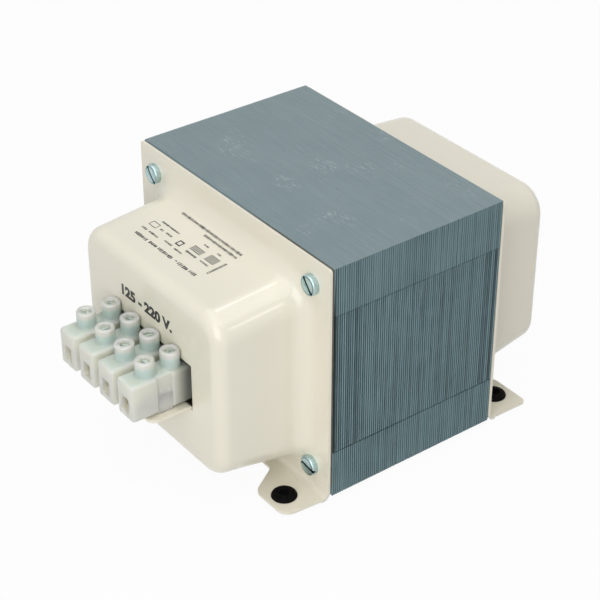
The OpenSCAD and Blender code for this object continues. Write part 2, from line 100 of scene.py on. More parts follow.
def full_turn(count):
    """Angles evenly round a circle, without the last."""
    return np.linspace(0, 2 * np.pi, count, endpoint=False)


def quarter_turn(count):
    """Angles evenly over a right angle, with both ends."""
    return np.radians(np.linspace(0, 90, count))


def grid(surface, wrap_rows=False, wrap_columns=False):
    """Quads between neighbouring points. A wrapped direction joins its last line to its first."""
    rows, columns = surface.shape[:2]
    index = np.arange(rows * columns).reshape(rows, columns)
    if wrap_columns:
        index = np.hstack([index, index[:, :1]])
    if wrap_rows:
        index = np.vstack([index, index[:1]])
    quads = np.stack([index[:-1, :-1], index[:-1, 1:], index[1:, 1:], index[1:, :-1]], axis=-1)
    return surface.reshape(-1, 3), [quads.reshape(-1, 4)]


def join(*shapes):
    """Several shapes as one, with each one's point numbers moved past those before it."""
    points, faces, start = [], [], 0
    for shape_points, shape_faces in shapes:
        points.append(shape_points)
        faces += [block + start for block in shape_faces]
        start += len(shape_points)
    return np.vstack(points), faces


def outward(shape):
    """Turns a closed shape's faces over when its volume, a sixth of the sum of a . (b x c) over
    its triangles, comes out below zero."""
    points, faces = shape
    volume = sum(np.sum(points[block[:, 0]] * np.cross(points[block[:, k]], points[block[:, k + 1]]))
                 for block in faces for k in range(1, block.shape[1] - 1))
    return points, faces if volume > 0 else [block[:, ::-1] for block in faces]


def capped(surface, ends=(0, -1)):
    """A grid of rings with a flat face over its first and last ring, or only one of them."""
    points, faces = grid(surface, wrap_columns=True)
    rings = np.arange(len(points)).reshape(len(surface), 1, -1)
    return points, faces + [rings[end][:, ::-1] if end == 0 else rings[end] for end in ends]


def tube(surface):
    """A closed shape from rings of points."""
    return outward(capped(surface))


def lathe(profile, sides=48, closed=False):
    """(radius, height) pairs turned round the z axis: a ring if closed, or capped at the ends."""
    radius, height = np.array(profile, float).T[:, :, None]
    surface = round_z(radius, full_turn(sides), height)
    return outward(grid(surface, True, True)) if closed else tube(surface)


def arc(centre, radii, start, end, steps):
    """Points of an arc in the plane: centre + (rx cos a, ry sin a), angles in degrees."""
    angle = np.radians(np.linspace(start, end, steps + 1))
    return np.array(centre) + spread(np.cos(angle), np.sin(angle)) * radii


FACINGS = {"up": np.eye(3), "down": np.diag([1, -1, -1]),
           "front": np.array([[1, 0, 0], [0, 0, 1], [0, -1, 0]]),
           "back": np.array([[-1, 0, 0], [0, 0, 1], [0, 1, 0]])}


def place(shape, at, facing="up", turn=0):
    """Turns a shape about its own z axis, points that axis the way it faces, and moves it."""
    c, s = np.cos(np.radians(turn)), np.sin(np.radians(turn))
    spin = np.array([[c, s, 0], [-s, c, 0], [0, 0, 1]])
    return shape[0] @ spin @ FACINGS[facing] + np.array(at, float), shape[1]


def mirror_y(shape):
    """The shape seen in a mirror at y = 0, with its faces turned back outwards."""
    return shape[0] * (1, -1, 1), [block[:, ::-1] for block in shape[1]]


# %% [markdown]
# ## From arrays to pieces
# `make_piece` scales a shape to metres, joins doubled points, shades smooth and keeps an edge
# sharp where faces meet at more than a given angle. It also hides the CAD nodes that it stands
# for, gives the piece its finish as its material, and sets it to ride on the object's one body.

# %% Making pieces
def show(name, data):
    """A new object with this data, in the scene."""
    thing = bpy.data.objects.new(name, data)
    bpy.context.scene.collection.objects.link(thing)
    return thing


def make_mesh(name, shape, finish):
    """A mesh in metres from a shape in millimetres."""
    points, faces = shape
    mesh = bpy.data.meshes.new(name)
    mesh.from_pydata((points * MM).tolist(), [], [face for block in faces for face in block.tolist()])
    mesh.materials.append(finish)
    return mesh


def make_piece(name, shape, finish, nodes=(), sharp=35, tone=None):
    """A piece at the origin, with the finish as its material. `tone` is a number for each point."""
    mesh = make_mesh(name, shape, finish)
    if tone is None:
        work = bmesh.new()
        work.from_mesh(mesh)
        bmesh.ops.remove_doubles(work, verts=work.verts, dist=0.001 * MM)
        work.to_mesh(mesh)
        work.free()
    else:
        mesh.attributes.new("tone", "FLOAT", "POINT").data.foreach_set("value", tone)
    mesh.shade_smooth()
    if sharp:
        mesh.set_sharp_from_angle(angle=np.radians(sharp))
    piece = show(name, mesh)
    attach(piece, "root")
    if nodes:
        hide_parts(*nodes)
    print(f"{name}: {len(mesh.vertices)} points, {len(mesh.polygons)} faces")
    return piece


def dress(node, finish):
    """Gives a finish to a CAD node that keeps its own mesh."""
    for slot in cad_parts[node].material_slots:
        slot.material = finish


# %% [markdown]
# ## Shader maths
# A finish is a sum of simple patterns. `Socket` wraps one output of a node, so that
# `1 - mask * 0.5` adds the Math nodes itself. `Tree` wraps a node tree: `add` makes a node from
# its type, its settings and its inputs. `Finish` is the tree of a material. What is the same all
# over a surface is set on the shader itself, and only what varies is linked.

# %% Sockets and finishes
def math_node(operation, swapped=False):
    """A method that adds one Math node, with its socket first or, swapped, last."""
    def method(self, *others):
        values = (*others, self) if swapped else (self, *others)
        return self.tree.add("Math", {"operation": operation}, dict(enumerate(values)))
    return method


class Socket:
    """One output of a shader node, with arithmetic."""
    __add__ = __radd__ = math_node("ADD")
    __mul__ = __rmul__ = math_node("MULTIPLY")
    __sub__ = math_node("SUBTRACT")
    __rsub__ = math_node("SUBTRACT", swapped=True)
    __gt__ = math_node("GREATER_THAN")
    __lt__ = math_node("LESS_THAN")
    __abs__ = math_node("ABSOLUTE")
    maximum = math_node("MAXIMUM")
    zigzag = math_node("PINGPONG")

    def __init__(self, tree, link):
        self.tree, self.link = tree, link

    def smooth(self, low, high):
        """0 below low, 1 above high, with a soft step between."""
        return self.tree.add("MapRange", {"interpolation_type": "SMOOTHSTEP"},
                             {"Value": self, "From Min": low, "From Max": high})

    def mix(self, first, second):
        """A colour between two colours."""
        return self.tree.add("Mix", {"data_type": "RGBA"}, {0: self, 6: first, 7: second}, output=2)


class Tree:
    """The shader nodes of a material or a world."""

    def __init__(self, owner):
        owner.use_nodes = True
        self.nodes, self.links = owner.node_tree.nodes, owner.node_tree.links

    def add(self, kind, settings=None, inputs=None, output=0):
        """A node of this kind, with its settings, then its inputs' values or links."""
        node = self.nodes.new("ShaderNode" + kind)
        for key, value in (settings or {}).items():
            setattr(node, key, value)
        for key, value in (inputs or {}).items():
            self.feed(node.inputs[key], value)
        return Socket(self, node.outputs[output])

    def feed(self, socket, value):
        """Links a Socket, or sets a plain value."""
        if isinstance(value, Socket):
            self.links.new(value.link, socket)
        else:
            socket.default_value = (*value, 1) if np.size(value) == 3 and socket.type == "RGBA" else value


class Finish(Tree):
    """A material with one Principled shader, whose fixed values are given by name."""

    def __init__(self, name, **fixed):
        self.material = bpy.data.materials.new(name)
        super().__init__(self.material)
        self.shader = self.nodes["Principled BSDF"]
        for key, value in fixed.items():
            self.shader.inputs[key.replace("_", " ").title().replace("Ior", "IOR")].default_value = value
        self.place = self.add("VectorMath", {"operation": "SCALE"},
                              {0: self.add("TexCoord", output="Object"), "Scale": 1 / MM})

    def noise(self, size, stretch=(1, 1, 1), detail=2.0, seed=0.0):
        """Noise from 0 to 1 whose grain is `size` millimetres, longer by `stretch` on x, y, z."""
        scale = [1 / (size * s) for s in stretch]
        at = self.add("Mapping", inputs={"Vector": self.place, "Scale": scale, "Location": (seed,) * 3})
        return self.add("TexNoise", inputs={"Vector": at, "Scale": 1.0, "Detail": detail})

    def axis(self, letter):
        """The x, y or z of a point, in millimetres."""
        return self.add("SeparateXYZ", inputs={0: self.place}, output=letter)

    def done(self, colour, roughness, height=None, depth=0.0):
        """Feeds the shader. Bumps are `depth` millimetres high where `height` is 1."""
        self.feed(self.shader.inputs["Base Color"], colour)
        self.feed(self.shader.inputs["Roughness"], roughness)
        if height:
            bump = self.add("Bump", inputs={"Height": height, "Distance": depth * MM, "Strength": 1.0})
            self.feed(self.shader.inputs["Normal"], bump)
        return self.material


def grained(name, grain, dark, light, rough, swing, depth, relief=None, **fixed):
    """A finish whose colour and roughness follow one noise, and its bumps too, or a `relief`."""
    finish = Finish(name, **fixed)
    pattern = finish.noise(**grain)
    height = finish.noise(**relief) if relief else pattern
    return finish.done(pattern.mix(dark, light), rough + pattern * swing, height, depth)


# %% [markdown]
# ## The core: 160 thin sheets
# E sheets and I sheets, 0.6 mm thick, are laid in turn with the E's yoke at the top and at the
# bottom, so each joint is bridged by the sheets on both sides. No two lie quite alike, and that
# gives the painted sides their fine upright lines. A bump map could fake the lines, but not the
# joints or the ragged edge, so each sheet is a real blank: an outline swept through its
# thickness, with a small rolled edge on one face.

# %% Sheet outlines
SHEETS = 160
PITCH = (STACK_BACK - STACK_FRONT) / SHEETS
ROLL, FRONT_BREAK, BREAK_DEPTH = 0.11, 0.02, 0.03
JOINT = 0.45
LEG = CENTRE_HALF = 25.0
chance = np.random.default_rng(11)


def outline_normals(outline):
    """Mitred outward normals of closed anticlockwise (sheets, points, 2) outlines: the sum of
    the two edge normals over one plus their product."""
    edge = np.roll(outline, -1, axis=1) - outline
    edge /= np.linalg.norm(edge, axis=2, keepdims=True)
    after = spread(edge[..., 1], -edge[..., 0])
    before = np.roll(after, 1, axis=1)
    return (before + after) / (1 + np.sum(before * after, axis=2, keepdims=True))


def stack(outline, front, yoke_up):
    """Sheets from outlines and the y of each front face: four rings through the thickness,
    rolled in at one face. The outline's z = 0 is the core's underside, or its top where the
    yoke is up."""
    inset = np.array([FRONT_BREAK, 0, 0, ROLL])[None, :, None, None]
    depth = np.array([0, BREAK_DEPTH, PITCH - ROLL, PITCH])[None, :, None] + front[:, None, None]
    ring = outline[:, None] - inset * outline_normals(outline)[:, None]
    height = CORE_HIGH - ring[..., 1] if yoke_up else CORE_LOW + ring[..., 1]
    points = spread(ring[..., 0], depth, height)
    base, faces = capped(points[0])
    shift = np.arange(len(outline))[:, None, None] * len(base)
    faces = [(block[None] + shift).reshape(-1, block.shape[1]) for block in faces]
    return outward((points.reshape(-1, 3), faces))


def with_left(right, *between):
    """Closed outlines from right sides, what lies between, and mirrored left sides."""
    return np.concatenate([right, *between, (right * (-1, 1))[:, ::-1]], axis=1)


def e_blanks(offsets, edge):
    """E outlines with the yoke at z = 0. `offsets` holds how far each sheet's outer edges stay
    in at the yoke's end, the leg's root, its middle and its tip, and `edge` its long edge."""
    top = CORE_HIGH - CORE_LOW - YOKE - JOINT
    window = CORE_HALF - LEG
    inner = np.array([[window, top], [window, YOKE], [CENTRE_HALF, YOKE], [CENTRE_HALF, top]])
    inner = np.concatenate([inner, (inner * (-1, 1))[::-1]])
    inner = np.broadcast_to(inner, (len(offsets), *inner.shape))
    outline = with_left(spread(CORE_HALF - offsets, np.array([0, YOKE, 0.55 * top, top])), inner)
    outline[..., 1] += np.where(outline[..., 1] < 1, edge[:, None], 0)
    return outline


def i_blanks(offsets, edge):
    """I outlines up to the yoke's height, with their ends in by the offsets."""
    right = spread(CORE_HALF - offsets, np.array([0, YOKE]))
    right[:, 0, 1] += edge
    return with_left(right)


# %% [markdown]
# The joints show from the side as two dotted lines, because only every second sheet ends there.
# A sheet that stays in lies in its neighbours' shade, and that shade is painted: each point carries
# a `tone` that the paint reads, 1 where the edge stands out, near 0 where it is set back and dark.

# %% How the sheets lie
FULL_SHADE = 0.36
DEEPEST = 0.7
INNER_TONE = 0.2


def set_back(mean, sway, levels):
    """How far each sheet's outer edge stays in at its levels: a sheet leans only a little."""
    common = np.abs(chance.normal(mean, sway, (SHEETS // 2, 1)))
    lean = chance.normal(0, 0.3 * sway, (SHEETS // 2, levels)).cumsum(axis=1)
    return np.clip(common + lean, 0.01, DEEPEST)


def tones(offsets, inner):
    """Tone of painted shade at each outline point of each sheet, repeated for the four rings."""
    own = np.clip(1 - offsets / FULL_SHADE + chance.normal(0, 0.08, (len(offsets), 1)), 0, 1)
    flat = np.full((len(own), inner), INNER_TONE)
    outline = np.concatenate([own, flat, own[:, ::-1]], axis=1)
    return np.repeat(outline[:, None], 4, axis=1).ravel()


def even_edge():
    """Long edges lie level to a few hundredths: the stack is knocked flat on them."""
    return chance.uniform(0.0, 0.05, SHEETS // 2)


fronts = STACK_FRONT + PITCH * np.arange(SHEETS)
e_up = set_back(0.05, 0.025, 4)
e_down = set_back(0.40, 0.045, 4)
e_down[:, 0] *= 0.7
i_up = set_back(0.28, 0.035, 2)
i_down = set_back(0.05, 0.03, 2)
# The front sheet's leg lies furthest in, which draws a dark line behind the flange: real shade from the
# set-back and painted shade from its low tone.
e_up[0, 1:] = DEEPEST
print(f"{SHEETS} sheets, {PITCH:.2f} mm apart, legs set back {e_up.mean():.2f} and {e_down.mean():.2f}")

# %% [markdown]
# ## Paint on the core
# The finished stack gets a thin blue-grey coat. On the sides its colour runs between a groove's
# painted shade and an edge's colour by the `tone` of each sheet, streaked by noise that is long in z.
# On the legs the colour is darker and the tone's painted shade stronger, apart from lighter runs
# down the middle of the stack, and the joints stay dark. The top is one skin with faint lines,
# rubbed patches and short scratches.

# %% The core's paint
GROOVE_SHADE, EDGE = (0.008, 0.024, 0.028), (0.196, 0.302, 0.326)
SKIN_DARK, SKIN_LIGHT = (0.194, 0.260, 0.276), (0.236, 0.305, 0.322)
BARE_STEEL, DIRT = (0.44, 0.50, 0.52), (0.10, 0.13, 0.14)
RUBBED = [(-1.0, 4.0), (1.0, -20.0)]


def side_paint(finish, tone, streak, cloud):
    """The sides: mixed from the grooves' painted shade to the edges' colour by one sum of the sheet's tone,
    its streaks and where it lies.
    """
    up = abs(finish.axis("Z") - 0.5 * (CORE_LOW + CORE_HIGH))
    seam_up = 0.5 * (CORE_HIGH - CORE_LOW) - YOKE
    legs = 1 - up.smooth(seam_up - 1.0, seam_up)
    seam = 1 - abs(up - seam_up).smooth(0.15, 0.5)
    belly = 1 - abs(finish.axis("Y")).smooth(16, 42)
    runs = finish.noise(0.55, stretch=(9, 1, 70), seed=6.0).smooth(0.52, 0.62)
    streaks = streak - 0.5
    side = tone * 0.95 + streaks * 0.45 + (cloud - 0.5) * 0.4 + 0.02 - seam * 0.45
    on_legs = belly * 0.26 - 0.54 + runs * belly * 0.80 + streaks * belly * 0.5
    on_legs += (tone - 0.5) * (1.1 - belly * 0.6)
    return (side + legs * on_legs).smooth(-0.25, 1.15).mix(GROOVE_SHADE, EDGE)


def top_paint(finish, fine, cloud):
    """The top: one skin, with scratches where it is rubbed, and specks of dirt."""
    x, y = finish.axis("X"), finish.axis("Y")
    patch = finish.noise(26, seed=5.0).smooth(0.56, 0.70)
    for x_mark, y_mark in RUBBED:
        away = (x - x_mark) * (x - x_mark) * 0.5 + (y - y_mark) * (y - y_mark)
        patch = patch + (1 - away.smooth(9, 60))
    scratch = patch * finish.noise(0.42, stretch=(9, 1, 1), detail=1, seed=9.0).smooth(0.60, 0.67)
    speck = finish.noise(1.3, stretch=(2, 1, 1), seed=8.0).smooth(0.70, 0.76)
    skin = (fine + (cloud - 0.5) * 0.5).smooth(0.2, 0.85).mix(SKIN_DARK, SKIN_LIGHT)
    skin = (scratch * 0.8).mix(skin, BARE_STEEL)
    return (speck * 0.35).mix(skin, DIRT)


def core_paint():
    """The two paints, told apart by height."""
    finish = Finish("core_paint", ior=1.45)
    tone = finish.add("Attribute", {"attribute_name": "tone"}, output="Fac")
    streak = finish.noise(0.45, stretch=(3, 1, 22), detail=3)
    cloud = finish.noise(22, detail=3)
    fine = finish.noise(0.45, stretch=(60, 1, 1), seed=4.0)
    level = finish.axis("Z").smooth(CORE_HIGH - 0.25, CORE_HIGH - 0.12)
    colour = level.mix(side_paint(finish, tone, streak, cloud), top_paint(finish, fine, cloud))
    roughness = 0.5 + (streak - 0.5) * 0.2 - level * 0.08
    return finish.done(colour, roughness, finish.noise(0.35, detail=3) * 0.6 + fine * 0.4, 0.02)


# %% Four stacks
paint = core_paint()
for name, blanks, offsets, first, yoke_up, inner_points in (
        ("upright_e", e_blanks, e_up, 0, True, 8), ("bottom_i", i_blanks, i_down, 0, False, 0),
        ("inverted_e", e_blanks, e_down, 1, False, 8), ("top_i", i_blanks, i_up, 1, True, 0)):
    sheets = stack(blanks(offsets, even_edge()), fronts[first::2], yoke_up)
    tone = tones(offsets, inner_points)
    make_piece(f"{name}_stack", sheets, paint, [f"{name}_sheets"], sharp=30, tone=tone)

# %% [markdown]
# ## The covers: one pressed sheet each
# Round the bell the outer skin is a family of closed outlines, from the flange's edge over the
# hollow curve, up the sloping wall and round the front edge to the face. All have the same number
# of points at matching places, so each ring joins the next in clean quads. The bend, the lip, the
# lugs and the shelf are patches that share their edge points with it.

# %% The bell's outlines
ROOT_HALF, ROOT_LOW, ROOT_HIGH = 57.0, 14.4, 112.7
DRAFT_SIDE, DRAFT_LOW, DRAFT_HIGH = 0.7, 5.6, 3.3
CORNER_R, EDGE_R, FLANGE_R = 15.0, 7.0, 1.5
LOW_R_ROOT, LOW_R_FRONT = 11.0, 14.0
FLARE_R, FLARE_LOW = 8.5, 4.4
BEND_R = 3.0
BEND_Z = CORE_LOW + BEND_R
BELL_DEPTH = BELL_FACE - FLANGE
DRAFT_DEPTH = BELL_DEPTH - EDGE_R
SIDE_STEPS, STRAIGHT_STEPS, ARC_STEPS = 8, 3, 16
BLOCK = 26.0


def corner_block(corner, enter, leave, radius, reach):
    """Points round one corner: straight, arc, straight, from `reach` before it to as far past
    it. A sharp corner has its points evenly along both straights."""
    if radius == 0:
        run = np.linspace(reach, 0, STRAIGHT_STEPS + ARC_STEPS // 2 + 1)[:, None]
        return np.concatenate([corner - run * enter, (corner + run[::-1] * leave)[1:]])
    run = np.linspace(reach, radius, STRAIGHT_STEPS + 1)[:, None]
    angle = quarter_turn(ARC_STEPS + 1)[1:-1, None]
    bend = corner + radius * (leave - enter + enter * np.sin(angle) - leave * np.cos(angle))
    return np.concatenate([corner - run * enter, bend, corner + run[::-1] * leave])


def bell_outline(half, low, high, radius_low, radius_high, reach=BLOCK):
    """Closed outline in (x, z) from the middle of its bottom: four corner blocks with evenly
    divided straights between them."""
    ways = np.array([(1, 0), (0, 1), (-1, 0), (0, -1), (1, 0)])
    corners = np.array([(half, low), (half, high), (-half, high), (-half, low)])
    radii = (radius_low, radius_high, radius_high, radius_low)
    blocks = [corner_block(*spot, reach) for spot in zip(corners, ways, ways[1:], radii)]
    half_side = SIDE_STEPS // 2 + 1
    points = [np.linspace((0, low), blocks[0][0], half_side)[:-1], blocks[0]]
    for before, block in zip(blocks, blocks[1:]):
        points += [np.linspace(before[-1], block[0], SIDE_STEPS + 1)[1:-1], block]
    points.append(np.linspace(blocks[3][-1], (0, low), half_side)[1:-1])
    return np.concatenate(points)


# %% [markdown]
# The drafted wall, the hollow curve and the round front edge all change the same outline: each
# ring knows its depth from the flange and how far it is grown or shrunk.

# %% The skin of a cover
def ring_at(outline, depth):
    """An outline stood at a depth in front of the flange."""
    return spread(outline[:, 0], -FLANGE - depth, outline[:, 1])


def bell_ring(depth, grow):
    """The bell's outline at a depth, drawn in by its draft and grown all round."""
    share = min(depth / DRAFT_DEPTH, 1)
    low_grow = grow * FLARE_LOW / FLARE_R if grow > 0 else grow
    low_r = LOW_R_ROOT + (LOW_R_FRONT - LOW_R_ROOT) * share + grow
    outline = bell_outline(ROOT_HALF - DRAFT_SIDE * share + grow, ROOT_LOW + DRAFT_LOW * share - low_grow,
                           ROOT_HIGH - DRAFT_HIGH * share + grow, low_r, CORNER_R + grow)
    return ring_at(outline, depth)


FLANGE_OUTLINE = bell_outline(CORE_HALF, BEND_Z, CORE_HIGH, 0, FLANGE_R)
flare = [bell_ring(FLARE_R * (1 - np.cos(a)), FLARE_R * (1 - np.sin(a))) for a in quarter_turn(10)]
wall = [bell_ring(DRAFT_DEPTH * share, 0) for share in (0.45, 0.7)]
front_edge = [bell_ring(DRAFT_DEPTH + EDGE_R * np.sin(a), -EDGE_R * (1 - np.cos(a)))
              for a in quarter_turn(10)]
bell_skin = [ring_at(FLANGE_OUTLINE, 0)] + flare + wall + front_edge
print(f"{len(bell_skin)} rings of {len(FLANGE_OUTLINE)} points from the flange to the face")

# %% [markdown]
# The bend turns the flange's bottom edge through a quarter circle. Past it, the lip is a plain
# strip, and each lug is a set of rings from its outline in to the hole for its rubber foot. A
# point of the hole's circle sits between where its own point of the outline is seen from the
# middle, and where even spacing puts it. The back lugs are longer, with squarer tips.

# %% Bend, lip and lugs
FOOT_X, FOOT_Y, _ = middle("foot_back_right")
LUG_W, LUG_SPREAD, LUG_R = 27.3, 7.3, 6.0
LUG_RELIEF, NECK, NOTCH_R, LUG_HOLE_R = 0.8, 1.2, 4.0, 4.5
AS_SEEN = 0.7
bend_y, lip_y = -FLANGE - BEND_R, -FLANGE - 7.7
bend_x = np.sort(FLANGE_OUTLINE[np.isclose(FLANGE_OUTLINE[:, 1], BEND_Z), 0])
LUG_FROM = bend_x[bend_x > 0][2]


def bend_patch():
    """The quarter bend: z falls and y runs out along a circle."""
    a = quarter_turn(9)[:, None]
    return grid(spread(bend_x[::-1], bend_y + BEND_R * np.cos(a), BEND_Z - BEND_R * np.sin(a)))


def lip_patch(notch_start):
    """The level strip between the lugs, with its edge drawn on to the notch beside each lug."""
    x = bend_x[np.abs(bend_x) < LUG_FROM + 0.01][::-1]
    edge = spread(x, lip_y, CORE_LOW)
    edge[0, :2] = notch_start
    edge[-1, :2] = notch_start * (-1, 1)
    return grid(np.stack([spread(x, bend_y, CORE_LOW), edge]))


def lug_edge(reach, outer_r, slant_side):
    """The right lug's free edge: round the notch, down the slanted inner side, round both
    corners of the tip and up the outer side, which leans in by `slant_side` at the tip."""
    tip_y = -FOOT_Y - reach
    tip_in = np.array([CORE_HALF - LUG_W + LUG_R, tip_y + LUG_R])
    tip_out = np.array([CORE_HALF - slant_side - outer_r, tip_y + outer_r])
    root = np.array([CORE_HALF - LUG_W - LUG_SPREAD, lip_y])
    to_tip = tip_in - root
    slant = np.degrees(np.arcsin(LUG_R / np.linalg.norm(to_tip)) - np.arctan2(to_tip[1], to_tip[0]))
    notch = root - (NOTCH_R * np.tan(np.radians(slant / 2)), NOTCH_R)
    notch_arc = arc(notch, NOTCH_R, 90, 90 - slant, 6)[1:]
    tip_arc = arc(tip_in, LUG_R, 270 - slant, 270, 8)
    neck = (CORE_HALF - LUG_RELIEF, bend_y - NECK)
    return np.concatenate([
        notch_arc, np.linspace(notch_arc[-1], tip_arc[0], 5)[1:-1],
        tip_arc, np.linspace(tip_arc[-1], tip_out - (0, outer_r), 6)[1:-1],
        arc(tip_out, outer_r, 270, 360, 10), np.linspace(tip_out + (outer_r, 0), neck, 6)[1:]])


def lug_patch(free_edge, side):
    """A lug: rings from its outline in to the hole, level with the core's underside."""
    along_bend = bend_x[bend_x > LUG_FROM - 0.01][::-1]
    outline = np.concatenate([spread(along_bend, bend_y), free_edge]) * (side, 1)
    hole_middle = np.array([side * FOOT_X, -FOOT_Y])
    away = outline - hole_middle
    seen = np.unwrap(np.arctan2(away[:, 1], away[:, 0]))
    angle = AS_SEEN * seen + (1 - AS_SEEN) * (seen[0] + side * full_turn(len(seen)))
    hole = hole_middle + LUG_HOLE_R * spread(np.cos(angle), np.sin(angle))
    rings = np.stack([outline, 0.5 * (outline + hole), hole])[:, ::side]
    return grid(spread(rings[..., 0], rings[..., 1], CORE_LOW), wrap_columns=True)


def feet_skin(reach, outer_r, slant_side):
    """Bend, lip and both lugs of one cover."""
    free_edge = lug_edge(reach, outer_r, slant_side)
    return [bend_patch(), lip_patch(free_edge[0]), lug_patch(free_edge, 1), lug_patch(free_edge, -1)]


front_feet = feet_skin(reach=8.6, outer_r=6.0, slant_side=1.8)
back_feet = feet_skin(reach=9.7, outer_r=2.6, slant_side=0.5)

# %% [markdown]
# The front bell's opening isn't cut out: its sheet is lanced along the top and both sides and
# turned out level at the bottom, where it becomes the shelf for the terminal strip. So the shelf
# is one more patch. It starts on the face a little below the opening, runs through a tight bend
# and ends in a straight edge with round corners.

# %% The opening and its shelf
STRIP_HALF = node_box("terminal_strip")[1][0]
SHELF_TOP = node_box("terminal_strip")[0][2]
OPENING_HALF = STRIP_HALF + 3.4
OPENING_HIGH = SHELF_TOP + 22.5
SHELF_BEND_R, SHELF_R = 1.2, 4.0
OPENING_LOW = SHELF_TOP - SHEET - SHELF_BEND_R
SHELF_FRONT = BELL_FACE + 21.5
OPENING_REACH = 11.0

opening = bell_outline(OPENING_HALF, OPENING_LOW, OPENING_HIGH, 0, 0, OPENING_REACH)
opening_ring = ring_at(opening, BELL_DEPTH)
face_rings = [0.5 * (front_edge[-1] + opening_ring), opening_ring]


def shelf_patch():
    """The turned-out tongue, from the opening's own lower points to a round-cornered edge."""
    x = np.sort(opening[np.isclose(opening[:, 1], OPENING_LOW), 0])[1:-1]
    a = quarter_turn(7)[:, None]
    bend = spread(x, -BELL_FACE - SHELF_BEND_R * (1 - np.cos(a)), OPENING_LOW + SHELF_BEND_R * np.sin(a))
    past = np.clip((np.abs(x) - x.max() + SHELF_R) / SHELF_R, 0, 1) * np.pi / 2
    corner_x = np.where(past > 0, np.sign(x) * (x.max() - SHELF_R + SHELF_R * np.sin(past)), x)
    tip = spread(corner_x, -SHELF_FRONT + SHELF_R * (1 - np.cos(past)), bend[-1, :, 2])
    share = np.array([0.35, 0.7, 1.0])[:, None, None]
    return grid(np.concatenate([bend, bend[-1] * (1 - share) + tip * share]))


print(f"opening {2 * OPENING_HALF:.1f} wide, shelf out to {SHELF_FRONT:.1f}")

# %% [markdown]
# ## Cream stoving enamel
# An even gloss is one low roughness. The faint orange peel is a very shallow noise that only
# bends reflections, and a slow second wave stands for how pressed sheet is never quite flat. The
# back skin goes on to a flat face where the front one opens, and is its mirror image. Solidify
# gives the sheet's thickness, inwards, and Bevel takes the sharpness off the cut edges.

# %% Enamel and covers
BACK_FLANGE_DROP = 1.0
EDGE_ROUND = 0.28


def enamel():
    """Cream gloss, with a fine peel and a slow wave in its bumps."""
    finish = Finish("cream_enamel", ior=1.5)
    colour = finish.noise(35).mix((0.790, 0.748, 0.625), (0.815, 0.775, 0.655))
    peel = finish.noise(1.6, detail=1)
    wave = finish.noise(28, detail=1, seed=7.0)
    roughness = 0.08 + finish.noise(9, detail=3, seed=3.0) * 0.06
    return finish.done(colour, roughness, peel * 0.012 + wave * 0.35, 0.3)


def make_cover(name, shape, node):
    """A cover's skin given its thickness and its softened edges."""
    piece = make_piece(name, shape, cream, [node], sharp=0)
    wall = piece.modifiers.new("sheet", "SOLIDIFY")
    wall.thickness, wall.offset, wall.use_even_offset = SHEET * MM, -1, True
    edge = piece.modifiers.new("edges", "BEVEL")
    edge.width, edge.segments, edge.angle_limit = EDGE_ROUND * MM, 2, np.radians(50)
    edge.limit_method, edge.harden_normals = "ANGLE", True


cream = enamel()
front_skin = join(grid(np.stack(bell_skin + face_rings), wrap_columns=True), shelf_patch(), *front_feet)
make_cover("front_bell", front_skin, "front_cover")

back_flange = bell_outline(CORE_HALF, BEND_Z, CORE_HIGH - BACK_FLANGE_DROP, 0, FLANGE_R)
back_bell = capped(np.stack([ring_at(back_flange, 0)] + bell_skin[1:]), ends=[-1])
make_cover("back_bell", mirror_y(join(back_bell, *back_feet)), "back_cover")

# %% [markdown]
# ## Bolts, nuts and washers
# Four M5 screws run through both covers and the whole stack. A slot could be cut with a Boolean,
# but that leaves ragged shading round it. A slotted head is really a disc with two D-shaped lands
# on it: sets of D outlines that draw in over the rounded rim to a slight dome. The thread's radius
# is a triangle wave of height less angle, which is what makes a helix.

# %% Heads, threads and nuts
def slotted_head(radius, height, slot_width, slot_depth, rounding, dome, steps=28):
    """A disc and two D-shaped lands. A land's ring is an arc of radius R - e between the ends
    of its slot wall, and e grows as a quarter circle at the rim."""
    floor = height - slot_depth
    rise = quarter_turn(6)[1:]
    rim = height - dome - rounding
    inset = np.concatenate([(0, 0), rounding * (1 - np.cos(rise)), (0.3 * radius, 0.6 * radius)])
    level = np.concatenate([(floor - 0.05, rim), rim + rounding * np.sin(rise),
                            (height - 0.35 * dome, height)])
    reach = (radius - inset)[:, None]
    wall = (slot_width / 2 + 0.3 * np.minimum(inset, rounding))[:, None]
    start = np.arcsin(wall / reach)
    angle = start + (np.pi - 2 * start) * np.linspace(0, 1, steps)
    land = tube(round_z(reach, angle, level[:, None]))
    disc = lathe([(radius, 0), (radius, floor)], sides=2 * steps)
    return join(disc, land, place(land, (0, 0, 0), turn=180))


def thread(radius, pitch, length, sides=32):
    """A thread up from z = 0: r = R - depth * (1 - ridge), where the ridge is a clipped triangle
    wave of (z / pitch - angle / turn). It fades out over the last pitch."""
    z = np.linspace(0, length, int(length / pitch * 8) + 1)[:, None]
    angle = full_turn(sides)
    wave = 1 - np.abs(2 * ((z / pitch - angle / (2 * np.pi)) % 1) - 1)
    ridge = np.clip(1.25 * wave, 0, 1) * np.clip((length - z) / pitch, 0, 1)
    return tube(round_z(radius - 0.6 * pitch * (1 - ridge), angle, z))


def hex_nut(flats, height, bore, sides=72):
    """A chamfered nut: r is half the flats over the cosine of the angle from the nearest flat's
    middle, and a corner is cut down by how far it stands out, times tan 30."""
    angle = full_turn(sides)
    flat = 0.5 * flats
    side = flat / np.cos((angle + np.pi / 6) % (np.pi / 3) - np.pi / 6)
    drop = (side - flat) * np.tan(np.radians(30))
    r = spread(bore, 0.97 * flat, side, side, 0.97 * flat, bore + 0.5, bore).T
    z = spread(0, 0, drop, height - drop, height, height, height - 0.5).T
    return outward(grid(round_z(r, angle, z), True, True))


